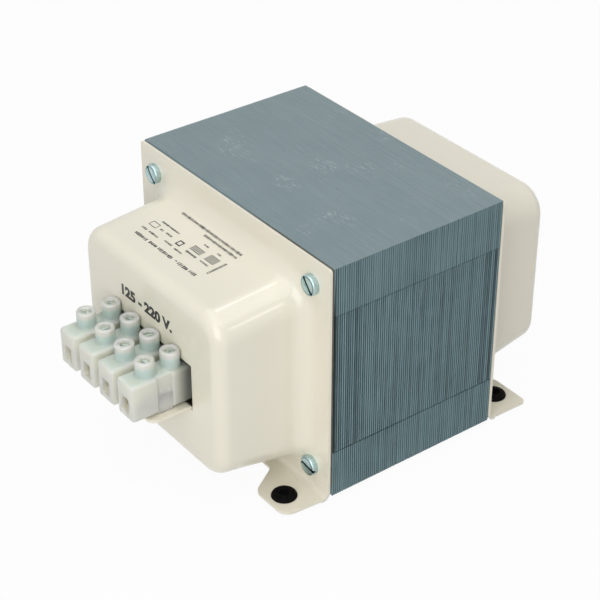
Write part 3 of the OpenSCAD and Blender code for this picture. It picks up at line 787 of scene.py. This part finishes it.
def washer(outer, inner, thickness, cut=0.14):
    """A ring with its outer edges cut back."""
    profile = [(inner, 0), (outer - cut, 0), (outer, cut), (outer, thickness - cut),
               (outer - cut, thickness), (inner, thickness)]
    return lathe(profile, sides=64, closed=True)


# %% [markdown]
# Bright zinc has a cold, slightly blue shine, clouded and scratched so that it isn't chrome. The
# slots' floors, and a ring round each head's rounded rim, are painted darker and greener as shade.
# The clamp screws' zinc is paler, and the strip's fixing screws are passivated yellow.

# %% Zinc and the tie bolts
HEAD_R, HEAD_H = 5.0, 3.3
SLOT_W, SLOT_DEPTH = 1.8, 1.6
SLOT_FLOOR = -FLANGE - HEAD_H + SLOT_DEPTH
BOLT_R, BOLT_PITCH, THREAD_IN = 2.5, 0.8, 4
HEAD_RIM_SHADE, SLOT_SHADE = (0.10, 0.16, 0.16), (0.004, 0.028, 0.036)


def shaded_heads(finish, colour):
    """Zinc with a ring of painted shade round each bolt's head and painted shade on its slot's floor."""
    y = finish.axis("Y")
    across = abs(finish.axis("X")) - BOLT_X
    up = abs(finish.axis("Z") - 0.5 * (BOLT_LOW + BOLT_HIGH)) - 0.5 * (BOLT_HIGH - BOLT_LOW)
    out = across * across + up * up
    on_head = y < -FLANGE - 0.3
    ring = out.smooth((HEAD_R - 1.5) ** 2, (HEAD_R - 0.9) ** 2)
    ring = ring * (1 - out.smooth((HEAD_R - 0.7) ** 2, (HEAD_R - 0.1) ** 2))
    slot_floor_shade = y.smooth(SLOT_FLOOR - 1.4, SLOT_FLOOR - 0.5) * (out < (HEAD_R - 0.35) ** 2)
    return (slot_floor_shade * on_head).mix((ring * on_head * 0.6).mix(colour, HEAD_RIM_SHADE), SLOT_SHADE)


def zinc(name, bright, dull, heads=False):
    """Clouded and finely scratched plating."""
    finish = Finish(name, metallic=1.0)
    cloud = finish.noise(1.4, detail=3)
    scratch = finish.noise(0.3, stretch=(1, 1, 9), seed=3.0).smooth(0.42, 0.62)
    colour = (cloud * 0.5 + scratch * 0.5).mix(dull, bright)
    if heads:
        colour = shaded_heads(finish, colour)
    height = scratch * 0.6 + finish.noise(0.12, stretch=(12, 12, 1)) * 0.4
    return finish.done(colour, 0.24 + cloud * 0.14 + scratch * 0.10, height, 0.03)


zinc_plate = zinc("zinc_plate", (0.66, 0.80, 0.81), (0.30, 0.44, 0.46), heads=True)
nut_low, nut_high = node_box("nut_top_right")
bolt_end = node_box("tie_bolt_top_right")[1][1]
# How far each head and each nut is turned, in degrees.
TURNS = {"top_left": (52, 136), "top_right": (50, 153), "bottom_left": (78, 187), "bottom_right": (10, 204)}
head = slotted_head(HEAD_R, HEAD_H, SLOT_W, SLOT_DEPTH, rounding=0.7, dome=0.25)
shank = lathe([(BOLT_R, 0), (BOLT_R, 2 * FLANGE - THREAD_IN)])
nut_shape = hex_nut(nut_high[2] - nut_low[2], nut_high[1] - nut_low[1], BOLT_R)
bolt_thread = thread(BOLT_R, BOLT_PITCH, bolt_end - FLANGE + THREAD_IN)

for corner, (head_turn, nut_turn) in TURNS.items():
    x = BOLT_X if "right" in corner else -BOLT_X
    z = BOLT_HIGH if "top" in corner else BOLT_LOW
    seat = np.array([x, -FLANGE, z])
    screw = join(place(head, seat, "front", -head_turn), place(shank, seat, "back"),
                 place(bolt_thread, (x, FLANGE - THREAD_IN, z), "back"))
    make_piece(f"bolt_{corner}", screw, zinc_plate, [f"tie_bolt_{corner}"])
    nut = place(nut_shape, (x, nut_low[1], z), "back", nut_turn)
    make_piece(f"hex_nut_{corner}", nut, zinc_plate, [f"nut_{corner}"])

corners = [(x, FLANGE, z) for x in (-BOLT_X, BOLT_X) for z in (BOLT_LOW, BOLT_HIGH)]
washers = join(*(place(washer(5.0, 2.65, 1.0), corner, "back") for corner in corners))
make_piece("washers", washers, zinc_plate, ["nut_washers"])

# %% [markdown]
# ## Rubber feet
# Each lug holds a black grommet: a disc under the lug, a waist through its hole and a low dome
# over it, with a hole down the middle. It is one profile turned on a lathe.

# %% Feet
def rubber():
    """Black rubber with a little dust."""
    finish = Finish("black_rubber", ior=1.45, specular_ior_level=0.05)
    dust = finish.noise(2.2, detail=4)
    colour = dust.smooth(0.5, 0.75).mix((0.003, 0.003, 0.003), (0.010, 0.010, 0.009))
    return finish.done(colour, 0.45 + dust * 0.3, finish.noise(0.25), 0.02)


black_rubber = rubber()
foot_low, foot_high = node_box("foot_front_right")
FOOT_R, FOOT_BORE, DOME_WIDTH = 0.5 * (foot_high[0] - foot_low[0]), 2.6, 2.6
LUG_LOW = CORE_LOW - SHEET
DOME_RISE = foot_high[2] - CORE_LOW + 0.6
foot_profile = np.concatenate([
    [(FOOT_BORE, 0.3), (FOOT_BORE + 0.3, 0)],
    arc((FOOT_R - 0.6, 0.6), 0.6, 270, 360, 4),
    [(FOOT_R, LUG_LOW - 0.2), (FOOT_R - 0.2, LUG_LOW), (LUG_HOLE_R, LUG_LOW), (LUG_HOLE_R, CORE_LOW)],
    [(FOOT_R - 0.1, CORE_LOW)],
    arc((FOOT_R - DOME_WIDTH, CORE_LOW), (DOME_WIDTH, DOME_RISE), 5, 90, 8),
    arc((FOOT_BORE + 0.5, CORE_LOW + DOME_RISE - 0.5), 0.5, 90, 180, 4)])
for corner in ("front_left", "front_right", "back_left", "back_right"):
    node = f"foot_{corner}"
    foot = place(lathe(foot_profile, 56, closed=True), middle(node) * (1, 1, 0))
    make_piece(f"rubber_{node}", foot, black_rubber, [node])

# %% [markdown]
# ## The terminal strip
# The strip is moulded in one piece from milky nylon. Its shape is all unions and cuts with soft
# edges, which is hard to draw as grids and easy to write as a signed distance: how far a point is
# from the surface, below zero inside. The union of two shapes is the smaller distance, and a cut
# is the larger of one and minus the other. A net of quads is then laid round the zero level.

# %% A net round a distance
def surface_net(distance, low, high, step):
    """Quads round the zero level of a distance. Each cell that the level crosses gets a point,
    the mean of the crossings on its edges; each crossed edge gets a quad between the points of
    its four cells. Two Newton steps then move each point onto the level."""
    axes = [np.arange(a, b + step, step) for a, b in zip(low, high)]
    field = distance(*np.meshgrid(*axes, indexing="ij"))
    cells, crossings, quads = [], [], []
    for axis, along in enumerate(np.eye(3, dtype=int)):
        index = np.argwhere(np.diff(field < 0, axis=axis))
        first, second = field[tuple(index.T)], field[tuple((index + along).T)]
        corners = np.array([(0, 0), (1, 0), (1, 1), (0, 1)]) @ np.delete(np.eye(3, dtype=int), axis, axis=0)
        around = np.ravel_multi_index((index[:, None] - corners).transpose(2, 0, 1), field.shape)
        turned = (first >= 0) != (axis == 1)
        quads.append(np.where(turned[:, None], around[:, ::-1], around))
        cells.append(around.ravel())
        crossings.append(np.repeat(index + along * (first / (first - second))[:, None], 4, axis=0))
    used, where = np.unique(np.concatenate(cells), return_inverse=True)
    crossing = np.concatenate(crossings)
    share = np.bincount(where)
    points = spread(*(np.bincount(where, crossing[:, n]) / share for n in range(3)))
    points = np.array(low) + step * points
    for _ in range(2):
        slope = spread(*(distance(*(points + shift).T) - distance(*(points - shift).T)
                         for shift in 0.05 * np.eye(3))) / 0.1
        steep = np.maximum(np.sum(slope * slope, axis=1), 0.5)
        move = slope * (distance(*points.T) / steep)[:, None]
        points = points - np.clip(move, -0.4 * step, 0.4 * step)
    return points, [np.searchsorted(used, np.concatenate(quads))]


def box_distance(x, y, z, half, radius=0):
    """Distance to a box of these half sizes, with round edges."""
    q = np.abs(spread(x, y, z)) - half + radius
    return np.linalg.norm(np.maximum(q, 0), axis=-1) + np.minimum(q.max(axis=-1), 0) - radius


def rod_distance(u, v, w, radius, half, rounding=0):
    """Distance to a rod along w, with round rims."""
    across = np.hypot(u, v) - radius + rounding
    along = np.abs(w) - half + rounding
    outside = np.hypot(np.maximum(across, 0), np.maximum(along, 0))
    return outside + np.minimum(np.maximum(across, along), 0) - rounding


def soft_union(a, b, blend):
    """The smaller of two distances, with a fillet where they meet."""
    share = np.clip(0.5 + 0.5 * (b - a) / blend, 0, 1)
    return b + (a - b) * share - blend * share * (1 - share)


# %% [markdown]
# All four terminals are the same, so a point's x is first measured from the middle of the
# nearest one. A terminal is a block, narrower beside the web, and two towers that run softly into
# its top. The hollow is a round seat for the brass tube, an oblong funnel at each end for the
# wire, the towers' bores, and the fixing holes in the web.

# %% The strip's distance
strip_low, strip_high = node_box("terminal_strip")
STRIP_Y = 0.5 * (strip_low[1] + strip_high[1])
WIRE_Z = middle("terminal_insert_1")[2]
POLES = np.array([middle(f"terminal_insert_{n}")[0] for n in (1, 2, 3, 4)])
POLE_PITCH = POLES[1] - POLES[0]
BODY_LOW, BODY_HIGH = SHELF_TOP + 1.2, SHELF_TOP + 20.5
WEB_HIGH, WEB_HALF = SHELF_TOP + 12, 4.0
BODY_X, NECK_X, BODY_Y = 6.4, 5.5, 18.0
TOWER_Y, TOWER_R, TOWER_BORE, TOWER_LOW = 6.7, 4.6, 2.6, BODY_HIGH - 6
SEAT_R, SEAT_HALF = 4.55, 14.8
FUNNEL_X, FUNNEL_Z, FUNNEL_R, FUNNEL_FROM = 3.1, 4.2, 1.4, 14.65
HOLE_R, HEAD_HOLE_R = 1.7, 3.0


def strip_distance(x, y, z):
    """Distance to the whole strip."""
    u = x - POLES[0] - POLE_PITCH * np.clip(np.round((x - POLES[0]) / POLE_PITCH), 0, 3)
    v = y - STRIP_Y

    def slab(across, low, high, half_x, half_y, radius):
        return box_distance(across, v, z - 0.5 * (low + high), (half_x, half_y, 0.5 * (high - low)), radius)

    recess = np.maximum(np.abs(v) - WEB_HALF, NECK_X - np.abs(u))
    body = np.maximum(slab(u, BODY_LOW, BODY_HIGH, BODY_X, BODY_Y, 1.7), -recess)
    foot = slab(u, SHELF_TOP, BODY_HIGH - 1, NECK_X, WEB_HALF, 0.3)
    web = slab(x, SHELF_TOP, WEB_HIGH, POLES[3], WEB_HALF, 0.3)
    tower = rod_distance(u, np.abs(v) - TOWER_Y, z - 0.5 * (TOWER_LOW + strip_high[2]), TOWER_R,
                         0.5 * (strip_high[2] - TOWER_LOW), 0.5)
    solid = np.minimum.reduce([soft_union(body, tower, 1.2), foot, web])
    seat = rod_distance(u, z - WIRE_Z, v, SEAT_R, SEAT_HALF)
    funnel = box_distance(u, 0 * v, z - WIRE_Z, (FUNNEL_X, 1, FUNNEL_Z), FUNNEL_R)
    funnel = np.maximum(funnel, FUNNEL_FROM - np.abs(v))
    bore = np.maximum(np.hypot(u, np.abs(v) - TOWER_Y) - TOWER_BORE, WIRE_Z - z)
    between = x - POLE_PITCH * np.clip(np.round(x / POLE_PITCH), -1, 1)
    hole = np.hypot(between, v) - np.where(z > WEB_HIGH, HEAD_HOLE_R, HOLE_R)
    return np.maximum(solid, -np.minimum.reduce([seat, funnel, bore, hole]))


strip = surface_net(strip_distance, strip_low - 1, strip_high + 1, 0.5)
print(f"strip: {len(strip[1][0])} quads")

# %% [markdown]
# Nylon lets light in a few millimetres and back out, so its shadows are pale and a screw inside
# a tower shows through the wall as a soft mint shade. That is subsurface scattering with some
# transmission, and a mint tint painted as high as the screws are, for the screws seen through the
# wall. The strip's back, in the bell, is painted dark as the shade inside the bell.

# %% Nylon
NYLON_DARK, NYLON_LIGHT = (0.875, 0.875, 0.765), (0.905, 0.905, 0.805)
SEEN_SCREW_MINT, RIM, SHADED = (0.60, 0.82, 0.75), (0.88, 0.86, 0.79), (0.16, 0.17, 0.15)
SCREW_TOP = strip_high[2] - 1.8


def nylon():
    """Milky plastic, with painted mint where the screws show through and painted shade by how far it lies
    inside the bell.
    """
    finish = Finish("strip_nylon", ior=1.5, subsurface_weight=1.0, subsurface_radius=(1.0, 1.0, 0.85),
                    subsurface_scale=0.006, transmission_weight=0.3)
    z = finish.axis("Z")
    body = finish.noise(7).mix(NYLON_DARK, NYLON_LIGHT)
    # Mint painted on the towers where the clamp screws would show through the wall.
    screw = z.smooth(BODY_HIGH - 1, BODY_HIGH + 1) * (1 - z.smooth(SCREW_TOP - 2, SCREW_TOP))
    body = (screw * 0.75).mix(body, SEEN_SCREW_MINT)
    body = (z.smooth(SCREW_TOP - 1, SCREW_TOP + 0.6) * 0.5).mix(body, RIM)
    # Painted shade over the strip's back, inside the bell.
    inside = finish.axis("Y").smooth(-BELL_FACE - 9, -BELL_FACE + 1)
    inside = inside * (1 - z.smooth(BODY_HIGH, BODY_HIGH + 1))
    roughness = 0.26 + finish.noise(3, detail=3, seed=2.0) * 0.12
    return finish.done((inside * 0.8).mix(body, SHADED), roughness, finish.noise(0.3), 0.015)


make_piece("nylon_strip", strip, nylon(), ["terminal_strip"], sharp=0)

# %% [markdown]
# ## Screws in the strip
# Each terminal has two headless clamp screws, one down each tower, and two yellow screws with
# nuts underneath hold the strip to the shelf. The brass tubes keep the CAD's own mesh, because
# their bores and threaded holes are already exact.

# %% Clamp screws, fixing screws and brass
FINE_SLOT_W, FINE_SLOT_DEPTH = 0.9, 1.0


def headless_screw(radius, length):
    """A thread from its tip at z = 0 with a slotted end."""
    top = FINE_SLOT_DEPTH + 0.4
    end = (0, 0, length - top)
    body = place(thread(radius, 0.8, length - top, sides=28), end, "down")
    return join(body, place(slotted_head(radius, top, FINE_SLOT_W, FINE_SLOT_DEPTH, 0.25, 0.05, 16), end))


clamp_zinc = zinc("clamp_zinc", (0.80, 0.86, 0.82), (0.58, 0.68, 0.64))
for row, y in (("front", STRIP_Y - TOWER_Y), ("back", STRIP_Y + TOWER_Y)):
    tip = node_box(f"{row}_clamp_screws")[0][2]
    screws = [place(headless_screw(2.5, SCREW_TOP - tip), (x, y, tip), "up", turn)
              for x, turn in zip(POLES, chance.uniform(0, 180, 4))]
    make_piece(f"{row}_clamps", join(*screws), clamp_zinc, [f"{row}_clamp_screws"])

screw_low = node_box("strip_screws")[0]
nut_low, nut_high = node_box("strip_nuts")
small_head = slotted_head(2.8, 2.0, FINE_SLOT_W, FINE_SLOT_DEPTH, 0.6, 0.3, 18)
small_thread = thread(1.5, 0.5, WEB_HIGH - screw_low[2], sides=20)
small_nut = hex_nut(5.5, nut_high[2] - nut_low[2], 1.5)
fixings, hexes = [], []
for x in (-POLE_PITCH, POLE_PITCH):
    seat = (x, STRIP_Y, WEB_HIGH)
    fixings += [place(small_head, seat, "up", 30), place(small_thread, seat, "down")]
    hexes.append(place(small_nut, (x, STRIP_Y, nut_low[2])))
yellow = zinc("yellow_zinc", (0.72, 0.62, 0.36), (0.58, 0.52, 0.34))
make_piece("fixing_screws", join(*fixings), yellow, ["strip_screws"])
make_piece("fixing_nuts", join(*hexes), zinc_plate, ["strip_nuts"])

brass = grained("insert_brass", {"size": 0.15, "stretch": (60, 1, 60)}, (0.50, 0.37, 0.13),
                (0.64, 0.50, 0.20), 0.24, 0.12, 0.01, metallic=1.0)
for n in (1, 2, 3, 4):
    dress(f"terminal_insert_{n}", brass)

# %% [markdown]
# ## Card, coil and leads
# What lies inside the covers is hardly seen, so it keeps the CAD's meshes. Each node gets a finish
# with its real material's grain: pressed fibres, the rows of a winding, the crinkle of tape, with
# painted shade between the rows and in the crinkles.

# %% Inner finishes
PAINT_ON_CARD = (0.190, 0.250, 0.266)
WIRE_D = 1.6


def fibre():
    """Pressed fibre, with the core's paint on the left half of its top edge."""
    finish = Finish("fibre_card", ior=1.45)
    flake = finish.noise(1.2, stretch=(3, 1, 3), detail=4)
    pressed = flake.mix((0.060, 0.052, 0.040), (0.190, 0.165, 0.125))
    painted = (1 - finish.axis("X").smooth(5.0, 30.0)) * (finish.axis("Z") > CORE_HIGH - 2)
    return finish.done((painted * 0.8).mix(pressed, PAINT_ON_CARD), 0.75 + flake * 0.15, flake, 0.05)


def wound_copper():
    """Rows of lacquered wire: a zigzag in z, with painted shade between two rows."""
    finish = Finish("enamelled_copper", metallic=0.9)
    row = finish.axis("Z").zigzag(WIRE_D / 2) * (2 / WIRE_D)
    cloud = finish.noise(6, detail=3)
    colour = (row * 0.7 + cloud * 0.3).mix((0.16, 0.045, 0.018), (0.55, 0.22, 0.09))
    return finish.done(colour, 0.28 + cloud * 0.2, row, 0.5)


def crepe():
    """Yellow crepe tape, crinkled across with painted shade in the crinkles, and faded in patches."""
    finish = Finish("crepe_tape", ior=1.45)
    crinkle = finish.noise(0.5, stretch=(1, 1, 6), detail=3)
    # The crinkle's darker parts are painted shade; the second noise fades the tape in patches.
    shade = crinkle * 0.6 + finish.noise(12, detail=3, seed=1.0) * 0.4
    return finish.done(shade.mix((0.46, 0.36, 0.16), (0.74, 0.63, 0.36)), 0.7 + crinkle * 0.2,
                       crinkle, 0.12)


def sleeve(name, dark, light):
    """The coloured sleeve of a lead."""
    return grained(name, {"size": 3, "detail": 3}, dark, light, 0.32, 0.15, 0.02,
                   relief={"size": 0.5}, ior=1.5)


dress("fibre_card", fibre())
dress("bobbin", grained("bobbin_plastic", {"size": 0.4, "detail": 3}, (0.018, 0.018, 0.018),
                        (0.035, 0.035, 0.034), 0.45, 0.15, 0.02, ior=1.5))
copper = wound_copper()
dress("inner_winding", copper)
dress("outer_winding", copper)
dress("coil_wrap", crepe())
red = sleeve("red_sleeve", (0.25, 0.02, 0.015), (0.42, 0.05, 0.03))
blue = sleeve("blue_sleeve", (0.015, 0.04, 0.18), (0.03, 0.08, 0.30))
for n in (1, 2, 3, 4):
    dress(f"lead_{n}", red if n % 2 else blue)

# %% [markdown]
# ## Printing
# Two voltages are printed over the terminals in black screen ink. Blender's text object gives the
# letters. It becomes a mesh while it still lies flat at the origin, and the mesh's points are then
# stood up on the face of the bell, a hair in front of the enamel.

# %% The voltage marking
black_ink = grained("black_print", {"size": 0.5, "detail": 3}, (0.010, 0.010, 0.011),
                    (0.030, 0.030, 0.032), 0.35, 0.2, 0.01, ior=1.5)
TEXT_X, TEXT_W, TEXT_Z, TEXT_H = -21.8, 41.8, 85.6, 5.9


def letters(text, weight):
    """Flat letters as (x, y) points and faces, from 0 to 1 in both directions."""
    curve = bpy.data.curves.new(text, "FONT")
    curve.body, curve.offset, curve.resolution_u = text, weight, 6
    carrier = show(text, curve)
    bpy.context.view_layer.update()
    mesh = bpy.data.meshes.new_from_object(carrier.evaluated_get(bpy.context.evaluated_depsgraph_get()))
    points = np.array([v.co[:2] for v in mesh.vertices])
    low, high = points.min(axis=0), points.max(axis=0)
    faces = [np.array([face.vertices[:]]) for face in mesh.polygons]
    bpy.data.objects.remove(carrier)
    return (points - low) / (high - low), faces


spot, faces = letters("125 - 220 V.", 0.055)
marking = spread(TEXT_X + TEXT_W * spot[:, 0], -BELL_FACE - 0.03, TEXT_Z + TEXT_H * spot[:, 1])
make_piece("voltage_marking", (marking, faces), black_ink, sharp=0)

# %% [markdown]
# The rating table on the bell's top is only a pattern: rows of small bars in place of words,
# frames, and two hatched fields. Each bar is a rectangle in x and in distance from the middle of
# the stack, laid on the slope by the same formula that drew the bell.

# %% The rating table's pattern
def slope_height(depth):
    """Height of the bell's top at a depth: the drafted line plus the flare, which grows it by
    R - sqrt(R^2 - (R - depth)^2) up to a depth of R."""
    inner = np.clip(FLARE_R - depth, 0, FLARE_R)
    return ROOT_HIGH - DRAFT_HIGH * depth / DRAFT_DEPTH + FLARE_R - np.sqrt(FLARE_R ** 2 - inner ** 2)


def printed_row(x_from, x_to, y, height):
    """Bars side by side, each a little different in width and height."""
    pitch = 0.62 * height
    start = np.arange(x_from, x_to, pitch)
    width = pitch * chance.uniform(0.45, 0.85, len(start))
    tall = height * chance.uniform(0.65, 1.0, len(start))
    return spread(start, start + width, y - tall / 2, y + tall / 2)


def printed_frame(x_from, x_to, y_from, y_to, line):
    """Four bars round a rectangle."""
    return np.array([(x_from, x_to, y_from, y_from + line), (x_from, x_to, y_to - line, y_to),
                     (x_from, x_from + line, y_from, y_to), (x_to - line, x_to, y_from, y_to)])


def hatching(x, long, y_first, count):
    """Thin level lines, a millimetre apart."""
    return [(x, x + long, y, y + 0.5) for y in y_first + 1.0 * np.arange(count)]


# Each row: from x, to x, its middle and its height.
ROWS = [(-28.3, 20.0, 58.6, 1.7), (-5.6, 20.0, 61.6, 1.8), (-28.5, -14.2, 69.6, 1.1),
        (-31.9, -28.5, 78.8, 1.3), (-26.0, -19.5, 78.7, 1.3), (-23.8, -21.6, 73.8, 1.3),
        (-19.4, -14.8, 73.6, 1.3), (-14.6, -8.8, 77.7, 1.2), (-6.2, -0.7, 78.0, 1.1),
        (-1.0, 6.9, 75.0, 1.3), (10.1, 16.0, 74.8, 1.1), (0.8, 3.8, 66.0, 1.2), (11.0, 13.9, 65.8, 1.2),
        (-30.0, -20.8, 83.6, 2.0), (-18.6, -13.4, 83.4, 2.0), (-11.4, 0.0, 83.3, 2.1),
        (2.2, 3.4, 83.0, 0.8), (4.7, 12.1, 83.2, 2.1), (13.6, 18.4, 83.0, 2.0)]
SIDE_X, SIDE_ROW = 20.6, (67.6, 78.4, 0, 1.6)
side_row = printed_row(*SIDE_ROW)[:, [2, 3, 0, 1]] + (SIDE_X, SIDE_X, 0, 0)
bars = np.concatenate([printed_row(*row) for row in ROWS] + [
    hatching(-1.6, 8.0, 69.3, 4), hatching(9.9, 7.0, 68.2, 5), side_row,
    printed_frame(-9.6, -6.0, 71.9, 75.6, 0.7), printed_frame(-31.8, -26.2, 72.0, 75.4, 0.35)])
spots = bars[:, [0, 2, 1, 2, 1, 3, 0, 3]].reshape(-1, 2)
table = spread(spots[:, 0], -spots[:, 1], slope_height(spots[:, 1] - FLANGE) + 0.05)
make_piece("rating_pattern", (table, [np.arange(len(spots)).reshape(-1, 4)[:, ::-1]]), black_ink, sharp=0)

# %% [markdown]
# ## Floor, light and camera
# The floor is a pale sheet that fades into a white world, as in a light tent. A panel at the
# front right is the key light and a wide one hangs above. Two small, weak ones draw the bright
# lines along the bell's upper right corner. The camera sees the floor and the world as white,
# straight or mirrored in gloss, while their light on the object stays as it is.

# %% Floor and world
FLOOR = 4000.0


def glow_where_seen(tree, kind, surface, share, output):
    """Mixes a white glow over a surface where the camera sees it, straight, mirrored or through
    a clear piece."""
    glow = tree.add(kind, inputs={"Color": (1, 1, 1), "Strength": 1.0})
    seen = tree.add("LightPath", output="Is Camera Ray")
    for ray in ("Is Glossy Ray", "Is Transmission Ray"):
        seen = seen.maximum(tree.add("LightPath", output=ray))
    mixed = tree.add("MixShader", inputs={0: seen * share, 1: Socket(tree, surface.outputs[0]), 2: glow})
    tree.feed(tree.nodes[output].inputs["Surface"], mixed)


paper = Finish("white_paper")
paper.done(paper.noise(60, detail=3).mix((0.68, 0.68, 0.68), (0.72, 0.72, 0.72)),
           0.9 + paper.noise(20) * 0.05)
glow_where_seen(paper, "Emission", paper.shader, 0.95, "Material Output")
x, y = np.meshgrid(np.linspace(-FLOOR, FLOOR, 9), np.linspace(-FLOOR, FLOOR, 9))
show("floor", make_mesh("floor", grid(spread(x, y, 0)), paper.material))

world = bpy.data.worlds.new("light_tent")
bpy.context.scene.world = world
tent = Tree(world)
background = tent.nodes["Background"]
background.inputs["Color"].default_value = (0.97, 0.99, 1.0, 1)
background.inputs["Strength"].default_value = 0.30
glow_where_seen(tent, "Background", background, 1.0, "World Output")


# %% Lamps
CENTRE = np.array((0, 0, 65.0))


def lamp(name, direction, distance, size, level):
    """A square panel in this direction. `level` is the light that it gives a surface that faces
    it, as a share of white: its power is level * pi^2 * distance^2."""
    away = np.array(direction) / np.linalg.norm(direction)
    data = bpy.data.lights.new(name, "AREA")
    data.size = size * MM
    data.energy = level * (np.pi * distance * MM) ** 2
    holder = show(name, data)
    holder.location = (CENTRE + away * distance) * MM
    holder.rotation_euler = Vector(away).to_track_quat("Z", "Y").to_euler()
    print(f"{name}: {data.energy:.1f} W")


lamp("key_panel", (0.56, -0.75, 0.34), 1200, 800, 0.42)
lamp("top_panel", (0.1, -0.05, 0.99), 1700, 2400, 0.79)
lamp("rear_panel", (-0.190, 0.262, 0.946), 1500, 170, 0.015)
lamp("right_panel", (0.836, 0.318, 0.449), 1500, 170, 0.014)

# %% [markdown]
# The camera stands nearly a metre away and looks down on the front, the right side and the top.
# Its lens is long, so upright edges stay nearly upright.

# %% Camera and size
camera_data = bpy.data.cameras.new("camera")
camera_data.lens = 105.1
camera_data.sensor_width = 36.0
camera = show("camera", camera_data)
camera.location = (0.5737, -0.4442, 0.5280)
camera.rotation_euler = np.radians((56.89, 0, 52.92))
bpy.context.scene.camera = camera
bpy.context.scene.view_settings.view_transform = "Standard"
